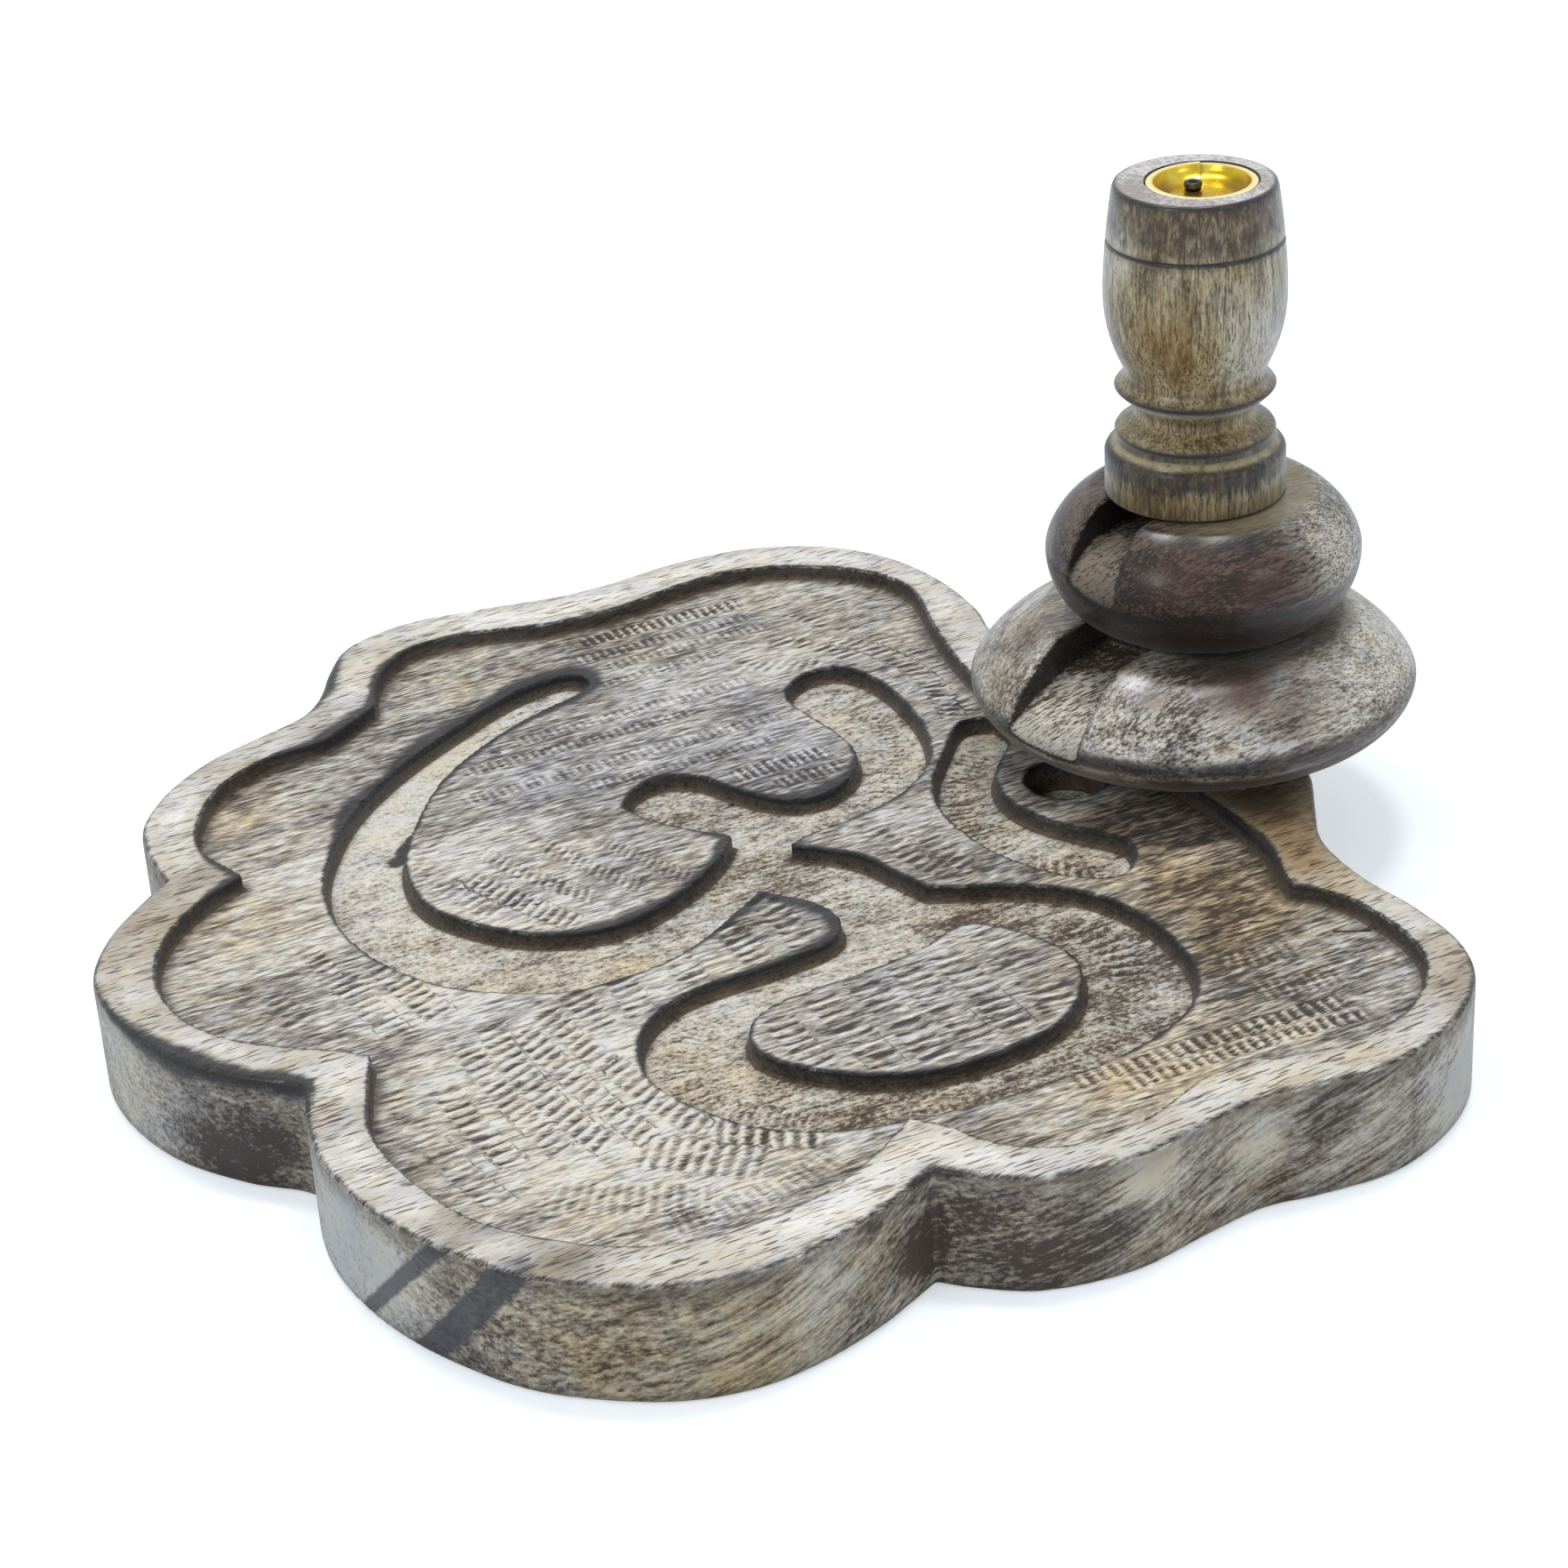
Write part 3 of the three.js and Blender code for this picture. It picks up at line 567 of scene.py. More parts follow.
troughPatches = [
    (80, 2, 24, -0.3, 0.25), (56, 30, 20, -0.34, 0.1), (33, 17, 11, -0.36, 0.1),
    (2, -4, 9, -0.34, 0), (-21, -7, 7, -0.28, 0), (12, -20, 14, -0.1, -0.2),
    (14, -50, 20, -0.06, 0.25), (-62, -38, 24, 0.2, 0.1), (72, -27, 14, -0.3, 0.15),
    (52, -42, 12, -0.08, 0.4), (4, 32, 8, -0.2, 0.2), (27, 38, 9, -0.22, 0.3),
    (-38, 35, 8, -0.14, 0), (-12, 41, 5, -0.15, 0.2), (-38, -61, 12, 0.12, 0),
    (20, -36, 9, 0.05, 0.5), (-51, -54, 8, 0.28, 0), (74, 27, 8, -0.12, 0.1),
    (74, 1, 7, 0.1, 0), (-15, -59, 6, 0.14, 0.1), (-63, -40, 8, 0.18, 0), (-15, -59, 7, 0.12, 0),
    (32, 16, 9, -0.16, 0), (-23, -10, 7, -0.14, 0), (3, 32, 9, -0.12, 0),
    (74, 24, 9, -0.12, 0), (78, 4, 9, -0.1, 0), (70, -30, 8, -0.1, 0),
    (57, 28, 8, -0.1, -0.2), (-21, 26, 8, -0.1, 0), (1, -4, 8, -0.1, 0),
    (58, 35, 12, 0.1, -0.3), (72, 23, 12, 0.08, -0.3), (80, 0, 12, 0.06, -0.2),
]
# The darker, golden rim patches around x 30 to 58, y 66 to 72, are painted shadow beside the tower
rimTonesAndShadows = [
    (-37, -87, 11, -0.32, 0.1), (-79, -51, 10, -0.4, -0.1), (39, 68, 15, -0.5, 0.85),
    (58, 66, 10, -0.34, 0.6), (93, 68, 9, -0.4, 0.1), (-105, 10, 36, 0.02, 0),
    (96, -42, 14, 0.16, 0), (98, 22, 10, 0.1, 0.3), (3, -107, 9, -0.1, 0.2),
    (44, -96, 6, -0.1, 0), (91, -81, 7, -0.5, -0.3), (76, -87, 6, -0.2, 0),
    (104, -62, 8, -0.1, 0.2), (-26, -98, 7, -0.1, 0.3), (106, 40, 9, -0.1, 0.2),
    (75, -91, 4, -0.15, -0.2), (-15, -108, 9, -0.2, 0.2), (-31, -103, 9, -0.2, 0.2),
    (-71, -73, 10, -0.2, 0.1), (100, -20, 6, 0.14, 0), (-98, -30, 12, -0.12, 0.2),
    (24, -99, 7, -0.2, 0), (97, -74, 8, -0.14, 0), (-31, -103, 8, -0.1, -0.2), (3, -106, 8, -0.12, 0),
    (76, -87, 7, -0.1, 0),
    (30, 71, 9, -0.3, 0.4), (44, 72, 8, -0.12, 0.35), (58, 74, 8, 0.1, 0.1),
]
# The lighter, cooler wall patches around x 0 to 60, y -99 to -114, are partly lighter wood and partly painted
# reflection of the pale surroundings
wallTonesAndReflections = [  # these places have a height too
    (0, -114, 10, 12, 0.6, 0), (14, -110, 7, 9, -0.3, 0), (24, -102, 8, 9, -0.9, -0.2),
    (55, -100, 12, 14, 1.0, -0.5), (71, -97, 10, 7, 0.5, -0.1), (95, -82, 10, 12, -0.06, 0.3),
    (101, -75, 18, 5, -0.3, 0), (106, -47, 16, 7, 0.5, 0.1), (105, -58, 5, 10, 0.4, 0.5),
    (103, -38, 10, 7, -0.1, 0.4), (99.5, -30, 8, 4.5, -1.2, 0.2), (106, -17, 8, 9, -0.5, 0),
    (109, -4, 8, 6, -0.3, -0.2), (109, 3, 17, 6, 1.1, 0.2), (107, 15, 8, 8, -0.1, 0.1),
    (106, 23, 14, 5, 0.7, -0.2), (107, 33, 14, 5, -0.4, -0.1), (108, 40, 11, 6, 0.4, 0),
    (106, 27, 5, 7, -0.15, 0.2), (103, 60, 9, 11, 0.8, -0.4), (52, -100, 19, 4, -0.6, 0),
    (101, -23, 12, 4, -0.5, 0), (103, -39, 19, 3, -0.6, 0), (100, 64, 8, 9, 0.5, -0.3),
    (19, -106, 2, 6, -0.5, -0.5), (83, -92, 1, 6, -0.4, -0.3),
    (105, -17, 4, 7, -0.3, 0), (99, -29, 13, 6, -0.25, 0), (107, 19, 12, 7, 0.25, 0),
    (19, -106, 12, 6, 0.3, -0.2), (109, 2, 17, 5, 0.3, 0.2), (11, -112, 10, 22, 0.0, -0.5),
    (60, -99, 10, 18, 0.0, -0.5), (101, -70, 9, 16, 0.0, 0.45), (108, 44, 10, 14, -0.1, -0.2),
]
burnPlaces = {  # where the flame went wider than the edge: place, reach, strength
    "trough": [(-82, -8, 20, 1.0), (-72, -38, 13, 1.0), (-55, -60, 10, 0.8), (-14, 15, 9, 0.7),
               (20, -8, 12, 0.8), (-6, -8, 6, 0.6), (8, -32, 8, 0.6), (-2, -21, 5, 0.5),
               (-66, 12, 9, 0.5), (76, 18, 6, 0.4)],
    "rim": [(14, -107, 15, 1.0), (27, -97, 7, 1.0), (99, -27, 4, 0.3), (-92, -44, 9, 0.8)],
    "pocket": [(-79, -50, 11, 0.9), (-37, -84, 8, 0.5), (-93, -37, 8, 0.4), (39, 64, 10, 0.5)],
}
wallBands = [  # dark growth layers: x at the foot, slope, bend, width, strength
    (61, 0.95, -0.002, 1.9, 0.75),
    (74.5, 0.92, -0.009, 2.8, 1.15),
]
darkStrokes = [  # spilt char and cracks: path, where it fades from and to, strength
    ([(-41, -50), (-35, -56)], 0.84, 2.8, 0.9), ([(60, 18), (66, 20)], 0.6, 2.0, 0.5),
    ([(-32, -14), (-24, -15)], 0.66, 2.2, 0.4), ([(60, 40), (59.4, 46), (60.6, 53)], 0.1, 0.8, 0.9),
    ([(69, 60), (71, 63), (72, 66)], 0.1, 0.8, 0.9),
]
darkChips = [((-17, 1), 1.3), ((-23, 0.4), 1.0), ((-57.5, -28), 1.4)]


def nearness(plan, centre, reach):  # 1 at a place, fading out past its reach
    return np.exp(-((plan - np.array(centre)) ** 2).sum(1) / reach ** 2)


def patchwork(plan, patches):  # the patches' tone and warmth at each point
    tone, warmth = np.zeros(len(plan)), np.zeros(len(plan))
    for *centre, reach, toneAndPaintedLight, golden in patches:
        weight = nearness(plan, centre, reach)
        tone += weight * toneAndPaintedLight
        warmth += weight * golden
    return tone, warmth


def burnAt(plan, kind):
    weights = [strong * nearness(plan, centre, reach) for *centre, reach, strong in burnPlaces[kind]]
    return np.max(weights, axis=0)


def strokeGap(plan, path):  # distance to a path of straight pieces
    gaps = []
    for start, end in zip(path, path[1:]):
        start, end = np.array(start, float), np.array(end, float)
        along = end - start
        t = np.clip((plan - start) @ along / (along @ along), 0, 1)[:, None]
        gaps.append(np.linalg.norm(plan - start - t * along, axis=1))
    return np.min(gaps, axis=0)


def paintTray(piece, outer, pocket, troughs, dot, floor, bed):
    places = corners(piece) / mm
    plan, height = places[:, :2], places[:, 2]
    strength, phase = toolMarks(plan)
    inside = height < floor - 0.5
    onFloor = np.abs(height - floor) < 1.0
    low = height < floor + 0.6
    # The floor's tone includes painted shadow under and beside the tower
    floorToneAndShadow, floorWarmth = patchwork(plan, floorTonesAndShadows)
    troughTone, troughWarmth = patchwork(plan, troughPatches)
    spilt = np.zeros(len(places))
    for path, full, faded, strong in darkStrokes:
        spilt = np.maximum(spilt, strong * (1 - ramp(strokeGap(plan, path), full, faded)))
    for centre, reach in darkChips:
        gap = np.linalg.norm(plan - np.array(centre), axis=1)
        spilt = np.maximum(spilt, 1 - ramp(gap, 0.5 * reach, reach))
    paint(piece, outerGap=outer.nearest(plan)[0], pocketGap=pocket.nearest(plan)[0],
          troughGap=np.min([outline.nearest(plan)[0] for outline in [dot, *troughs]], axis=0),
          tone=np.where(inside, troughTone, floorToneAndShadow * onFloor),
          warmth=np.where(inside, troughWarmth, floorWarmth * onFloor),
          marks=strength * low * (height > bed - 1), markPhase=phase, spilt=spilt * low)
    paint(piece, **{"burn " + kind: burnAt(plan, kind) for kind in burnPlaces})


# Woods. Each has its fibre along +Y, tilted a little, or along +Z for the upright holder
trayTones = shades(
    rimPale=(243, 240, 234), rimMid=(207, 203, 196), rimBrown=(160, 147, 128), rimStreak=(88, 76, 66),
    floorPale=(237, 233, 224), floorMid=(168, 161, 152), floorDark=(72, 63, 58),
    troughPale=(240, 236, 227), troughMid=(197, 189, 176), troughDark=(112, 96, 77),
    troughDeep=(70, 59, 51), sidePale=(196, 191, 177), sideMid=(134, 126, 113), sideDark=(66, 56, 49),
    # stain and stainLow are partly painted shade on the inner walls
    stain=(32, 25, 21), stainLow=(84, 65, 45), char=(22, 22, 28), layer=(54, 54, 62),
    golden=(255, 236, 200), cool=(226, 234, 255))


def trayWood():
    wood = Finish("burnt tray wood", trayTones)
    fibre = wood.noise((0.5, 11, 0.9), 3, 0.6, (5, 0, 0))
    dashes = wood.noise((0.75, 3.4, 1.4), 2, 0.55, (7, 0, 0))
    hairs = wood.noise((0.28, 3.0, 0.4), 2, 0.6, (6, 0, 0))
    strokes = wood.noise((0.4, 7, 0.4), 1, 0.5, (5, 0, 3))
    figure = wood.noise((8, 90, 12), 3, 0.6, (8, 0, 2), 0.6)
    patches = wood.noise((18, 28, 18), 3, 0.6)
    grime = wood.noise((2.2, 4.2, 2.2), 3, 0.6)
    speckle = wood.noise((0.6, 1.0, 0.6), 2, 0.65)
    slanting = wood.noise((1.1, 15, 0.7), 3, 0.62, (18, 0, 0))
    endGrain = wood.noise((1.0, 4.5, 0.6), 3, 0.66, (20, 38, 0))
    blotch = wood.noise((7, 22, 3.6), 3, 0.62, (20, 38, 0), 0.4)
    drift = wood.noise((7, 12, 7), 4, 0.72, (0, 0, 25)) * 2.8

    across, back, height = wood.along("X"), wood.along("Y"), wood.along("Z")
    outer, pocket, trough, tone, warmth, marks, phase, spilt = wood.painted(
        "outerGap", "pocketGap", "troughGap", "tone", "warmth", "marks", "markPhase", "spilt")
    burnRim, burnPocket, burnTrough = wood.painted("burn rim", "burn pocket", "burn trough")
    rim = tray["thickness"]
    floor = rim - tray["pocket"]
    bed = floor - tray["trough"]
    onRim = height.step(floor + 1.2, rim - 0.6)
    onOutside = outer.step(1.0, 0.35) * height.step(rim - 0.3, rim - 0.9)
    inTrough = height.step(floor - 0.5, bed + 1.2) * pocket.step(1, 2) * outer.step(3, 5)
    hollow = ((phase + grime * 2.2).sine() * 0.5 + 0.5) * marks
    ridge = marks - hollow

    # Patches on the rim and on the outer wall, with painted shadow and painted reflection among them, and
    # dark growth layers in the wall
    for spots, where in ((rimTonesAndShadows, onRim * (1 - onOutside)), (wallTonesAndReflections, onOutside)):
        for *centre, reach, toneAndPaintedLight, golden in spots:
            weight = wood.near((*centre, rim)[:3], reach) * where
            tone = tone + weight * toneAndPaintedLight
            warmth = warmth + weight * golden
    layers = across * 0
    for start, slope, bend, width, strong in wallBands:
        gap = (across - start - height * slope - height * height * bend).size() + grime * 1.2
        layers = layers.upper(gap.step(1.15 * width, 0.6 * width) * strong)
    layers = layers * back.step(-83, -85) * (onOutside + onRim * 0.3).lower(1)

    # Burnt edges: a dark line where a wall's top corner is, much wider where the flame stayed
    def burntEdge(gap, drop, wide, thin, thick):
        edge = (gap * gap + drop * drop) ** 0.5
        end = (thin + grime * 2.2 + hairs * 1.2).upper(0.3) + wide * thick
        return edge.step(end, wide * 0.25 * thick)

    below = (rim - height).upper(0)
    sunk = (floor - height).upper(0) + (height - floor - 0.6).upper(0) * 9
    char = burntEdge(outer, below * 1.1, burnRim, 1.35, 4.0)
    char = char.upper(burntEdge(pocket, below, burnPocket, 1.1, 4.0))
    char = char.upper(burntEdge(trough, sunk, burnTrough * (1 - inTrough), 1.3, 5.0))
    char = char.upper((spilt + grime * spilt).step(0.25, 0.9))
    smoked = (outer.step(5.5, 0.6) + pocket.step(4, 0.4)) * onRim * (0.3 + grime * 2.0).upper(0)

    # Dark stain on the inner walls, with painted shade there too, and painted shade where they meet a floor
    wallPocket = pocket.step(1.0, 0.5) * height.step(floor - 0.3, floor + 0.4)
    wallPocket = wallPocket * height.step(rim - 0.1, rim - 0.8)
    wallTrough = trough.step(1.0, 0.5) * height.step(floor - 0.1, floor - 0.8)
    pocketFootShade = (pocket + grime * 3).step(2.6, 0.3) * height.step(floor + 0.8, floor + 0.3) * 0.55
    troughFootShade = (trough + grime * 2).step(1.6, 0.3) * inTrough * 0.5
    wallStainAndShade = wallPocket.upper(wallTrough).upper(pocketFootShade).upper(troughFootShade)
    deep = wallPocket * (rim - height).step(1.0, 2.8) + wallTrough * (floor - height).step(1.0, 2.8)
    stain = wood.mix(deep * (0.75 + grime * 2.0 + speckle), "stain", "stainLow")

    # The grain of the rim, the pocket's floor, the trough and the outer wall
    streak = strokes.step(0.06, 0.18) * 0.62 + fibre.step(0.04, 0.22) * 0.3 + hairs.step(0.06, 0.22) * 0.24
    rimBody = 0.82 - streak + figure * 0.7 + grime * 0.3 + patches * 0.4 + tone
    rimColour = wood.ramp(rimBody, [
        (0.02, "rimStreak"), (0.32, "rimBrown"), (0.62, "rimMid"), (0.92, "rimPale")])
    relief = 0.52 + fibre * 1.7 + dashes * 1.8 + hairs * 1.3 + patches * 0.9 + figure * 1.2
    relief = relief + tone - hollow * 0.6 + ridge * 0.3
    floorColour = wood.ramp(relief, [(0.05, "floorDark"), (0.5, "floorMid"), (0.98, "floorPale")])
    speck = 0.62 + speckle * 2.0 + grime * 1.5 + fibre * 1.5 + figure * 0.5
    speck = speck + tone - hollow * 0.4 + ridge * 0.18
    troughColour = wood.ramp(speck * 0.75 + 0.22, [
        (0.0, "troughDeep"), (0.28, "troughDark"), (0.6, "troughMid"), (0.93, "troughPale")])
    side = 0.5 + endGrain * 1.1 + slanting * (1.0 + across.step(60, 100)) + speckle * 1.0 + blotch * 1.1
    side = side + tone * 0.6
    sideColour = wood.ramp(side, [(0.08, "sideDark"), (0.45, "sideMid"), (0.98, "sidePale")])

    wood.colour = wood.mix(inTrough, floorColour, troughColour)
    wood.over(onRim, rimColour)
    wood.over(onOutside.upper(height.step(1, 0.3)), sideColour)
    wood.over(warmth + (drift + grime * 0.8) * 0.9 - 0.02, "golden", "MULTIPLY")
    wood.over(0 - warmth - drift - grime * 0.8, "cool", "MULTIPLY")
    pores = speckle.step(0.1, 0.2) * (inTrough * 0.25 + onOutside * 0.14)
    wood.over(pores, "rimStreak")
    soot = onOutside * below.step(5, 0.6) * (0.42 + patches * 1.4 + grime * 0.9).upper(0)
    # A painted contact shadow along the bottom of the outer wall
    foot = onOutside * height.step(2.6, 0.2) * 0.45
    wood.over(soot.upper(foot).lower(0.85), "sideDark")
    wood.over(smoked.lower(0.6), "rimBrown")
    wood.over((layers * 1.2 + speckle * layers * 1.2).lower(0.86), "layer")
    # Dark stain with painted shade on the inner walls, and painted shade along their feet on the floors
    wood.over((wallStainAndShade * 1.25 + grime * 0.8 * wallStainAndShade).lower(0.93), stain)
    burnt = (char + (grime * 0.6 + hairs * 0.8) * char).step(0.1, 0.95) * 0.95
    wood.over(burnt, "char")

    roughness = 0.56 - onRim * 0.06 + grime * 0.3 - burnt * 0.14
    bumps = (relief * (1 - inTrough) + (speck + speckle * 2) * inTrough) * (1 - onRim) * (1 - onOutside) * 0.8
    bumps = bumps + hairs * 0.4 - streak * onRim * 0.5 - pores * 0.5 - hollow * 0.5
    return wood.done(roughness, bumps, 0.25 * mm, coat=0.12, sheen=0.12)


# Pebbles. Heights are above the foot, and a channel runs along its heading, to one side of the axis
channelHeading = -67.5
lowerPebble = {
    "node": "lower_pebble", "slot": "pale_pebble_wood", "radius": 37.6, "height": 20.7, "widest": 9.8,
    "foot": 17.5, "seat": 25.3, "crownRise": 1.33, "crownFall": 2.42,
    "channel": {"width": 14.9, "depth": 6.4, "inner": 8, "level": 14, "aside": -4.3, "lip": 1.2,
                "fall": 0.45},
}
upperPebble = {
    "node": "upper_pebble", "slot": "dark_pebble_wood", "radius": 26.3, "height": 21.9, "widest": 11.9,
    "foot": 15.5, "seat": 18.7, "crownRise": 1.6, "crownFall": 3.29,
    "channel": {"width": 10.6, "depth": 5.7, "inner": -2.3, "level": 14.2, "aside": -4.7, "lip": 2.7,
                "fall": 1.35},
}
pebbleGrain = 0.45  # mm, the size of the pebbles' facets


def pebbleProfile(pebble):
    radius, widest, foot = pebble["radius"], pebble["widest"], pebble["foot"]
    profile = [(0, 0)]
    for turn in np.linspace(0, math.pi / 2, 25):
        profile.append((foot + (radius - foot) * math.sin(turn), widest * (1 - math.cos(turn))))
    crownEnd = (1 - (pebble["seat"] / radius) ** pebble["crownFall"]) ** (1 / pebble["crownRise"])
    for rise in np.linspace(0, 1, 31)[1:]:
        shrink = (1 - (crownEnd * rise) ** pebble["crownRise"]) ** (1 / pebble["crownFall"])
        profile.append((radius * shrink, widest + (pebble["height"] - widest) * rise))
    return profile + [(0, pebble["height"])]


def channelFloor(pebble, out):  # the floor's height at a distance out from the axis
    channel = pebble["channel"]
    floor = pebble["height"] - channel["depth"]
    lip = pebble["widest"] - channel["lip"]
    bend = pebble["radius"] - (floor - lip) / channel["fall"]
    start, end = channel["level"], pebble["radius"]
    t = np.linspace(0, 1, 40)
    along = (1 - t) ** 2 * start + 2 * t * (1 - t) * bend + t ** 2 * end
    down = (1 - t) ** 2 * floor + 2 * t * (1 - t) * floor + t ** 2 * lip
    return np.interp(out, along, down)


def axes(heading):
    angle = math.radians(heading)
    return Vector((math.cos(angle), math.sin(angle), 0)), Vector((-math.sin(angle), math.cos(angle), 0))


def channelCutter(pebble, axis, foot):
    channel = pebble["channel"]
    ahead, left = axes(channelHeading)
    past = pebble["radius"] + 6
    side = [(channel["inner"], pebble["height"] + 2)]
    for out in [channel["inner"], *np.linspace(channel["level"], pebble["radius"], 16), past]:
        drop = max(0, out - pebble["radius"]) * channel["fall"]
        side.append((out, float(channelFloor(pebble, out)) - drop))
    side.append((past, pebble["height"] + 2))
    start = axis + left * (channel["aside"] - channel["width"] / 2) * mm
    chain = [start + ahead * u * mm + Vector((0, 0, foot + v * mm)) for u, v in side]
    piece = drawnChain("channel cutter", chain)
    bpy.ops.mesh.select_all(action="SELECT")
    bpy.ops.mesh.edge_face_add()
    bpy.ops.mesh.extrude_region_move(TRANSFORM_OT_translate={"value": left * channel["width"] * mm})
    bpy.ops.mesh.select_all(action="SELECT")
    bpy.ops.mesh.normals_make_consistent(inside=False)
    bpy.ops.object.mode_set(mode="OBJECT")
    return piece


def makePebble(name, pebble, finish):
    axis = middleOf(pebble["node"])
    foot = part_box(pebble["node"])[0].z
    axis.z = 0
    piece = turned(name, pebbleProfile(pebble), axis + Vector((0, 0, foot)), 120)
    cutAway(piece, channelCutter(pebble, axis, foot))
    remeshed(piece, pebbleGrain)
    applied(piece, "SMOOTH", factor=0.5, iterations=3)
    paintPebble(piece, pebble, axis, foot)
    dress(piece, finish, pebble["node"])


def paintPebble(piece, pebble, axis, foot):
    channel, radius = pebble["channel"], pebble["radius"]
    ahead, left = axes(channelHeading)
    offset, reach, bearing = about(piece, axis)
    out = offset @ np.array(ahead)
    aside = offset @ np.array(left) - channel["aside"]
    height = offset[:, 2] - foot / mm
    width = channel["width"] / 2
    floor = channelFloor(pebble, out)
    past = out > channel["inner"] - 0.3
    inChannel = past * (np.abs(aside) < width + 0.25) * (height > floor - 0.5)
    level = ramp(facing(piece)[:, 2], 0.4, 0.75)
    edgeGap = np.abs(np.abs(aside) - width) + np.where(past, 0, 9)
    onTop = ramp(height - floor, 0.8, 2.0)
    fine = waver(corners(piece) / mm, 2.5, 4)
    edge = (1 - ramp(edgeGap, 0.2, 1.0 + 0.4 * fine)) * onTop * (1 - inChannel)
    lipGap = np.abs(height - floor) + (1 - inChannel) * 3 * (height > floor)
    lip = (1 - ramp(lipGap, 0.1, 0.9)) * ramp(out, 0.8 * radius, 0.92 * radius)
    lip *= np.abs(aside) < width + 0.6
    foreLip = ramp(out, 0.86 * radius, 0.99 * radius) * inChannel * level
    burnt = np.max([edge * 0.8, lip * 0.35, foreLip * 0.6], axis=0)
    paint(piece, channelFloor=inChannel * level, channelWall=inChannel * (1 - level),
          channelOut=np.clip(out / radius, 0, 1.1), char=np.clip(burnt, 0, 1),
          rise=height / pebble["height"], round=((bearing + 32 + 180) % 360 - 180) / 90,
          reach=reach / radius)


# The channel wall colour and the inner end of the channel floor colour are painted shade
pebbleTones = {
    "lower_pebble": {
        # The seat colour here is a painted shadow cast by the upper pebble
        **shades(pale=(214, 211, 205), mid=(146, 140, 131), dark=(56, 45, 38),
                 flankPale=(232, 227, 216), flank=(176, 168, 154), flankDark=(94, 81, 65),
                 dash=(56, 44, 34), patch=(84, 58, 50), low=(62, 45, 30), belt=(36, 30, 29),
                 seat=(62, 53, 38), wall=(34, 27, 22), floorIn=(78, 62, 42), floorOut=(220, 216, 204),
                 golden=(255, 234, 196), cool=(222, 232, 255)),
        "lively": 1.15, "coat": 0.5, "sheen": 0.18, "leftFlank": 0.7, "beltAt": 0.46, "beltWidth": 0.06,
        "patches": [(28, 69, 40, 7, 1.0), (34, 75, 37, 8, 0.55), (12, 52, 40, 6, 0.5), (22, 56, 38, 3, 0.6),
                    (-8, 50, 39, 7, 0.35)],
        "toneAndPaintedLight": [(32, 63, 36, 5, 0.12), (18, 52, 38, 5, 0.15), (30, 86, 39, 10, 0.12),
                  (18, 101, 39, 9, 0.35), (37, 80, 34, 7, 0.15)],
    },
    "upper_pebble": {
        **shades(pale=(104, 84, 72), mid=(46, 32, 26), dark=(16, 10, 7),
                 flankPale=(206, 201, 190), flank=(142, 134, 123), flankDark=(60, 50, 43),
                 dash=(34, 27, 23), patch=(70, 39, 28), low=(46, 27, 15), belt=(15, 13, 14),
                 seat=(146, 134, 104), wall=(26, 22, 20), floorIn=(46, 35, 27), floorOut=(140, 128, 114),
                 golden=(255, 234, 196), cool=(222, 232, 255)),
        "lively": 1.25, "coat": 0.5, "sheen": 0.1, "leftFlank": 0.0, "beltAt": 0.36, "beltWidth": 0.1,
        "patches": [(22, 63, 57, 7, 0.5), (28, 73, 56, 6, 0.55), (26, 84, 50, 6, 0.4)],
        "toneAndPaintedLight": [(26, 88, 57, 8, 0.2), (-3, 56, 60, 6, 0.3), (20, 86, 62, 6, 0.2)],
    },
}


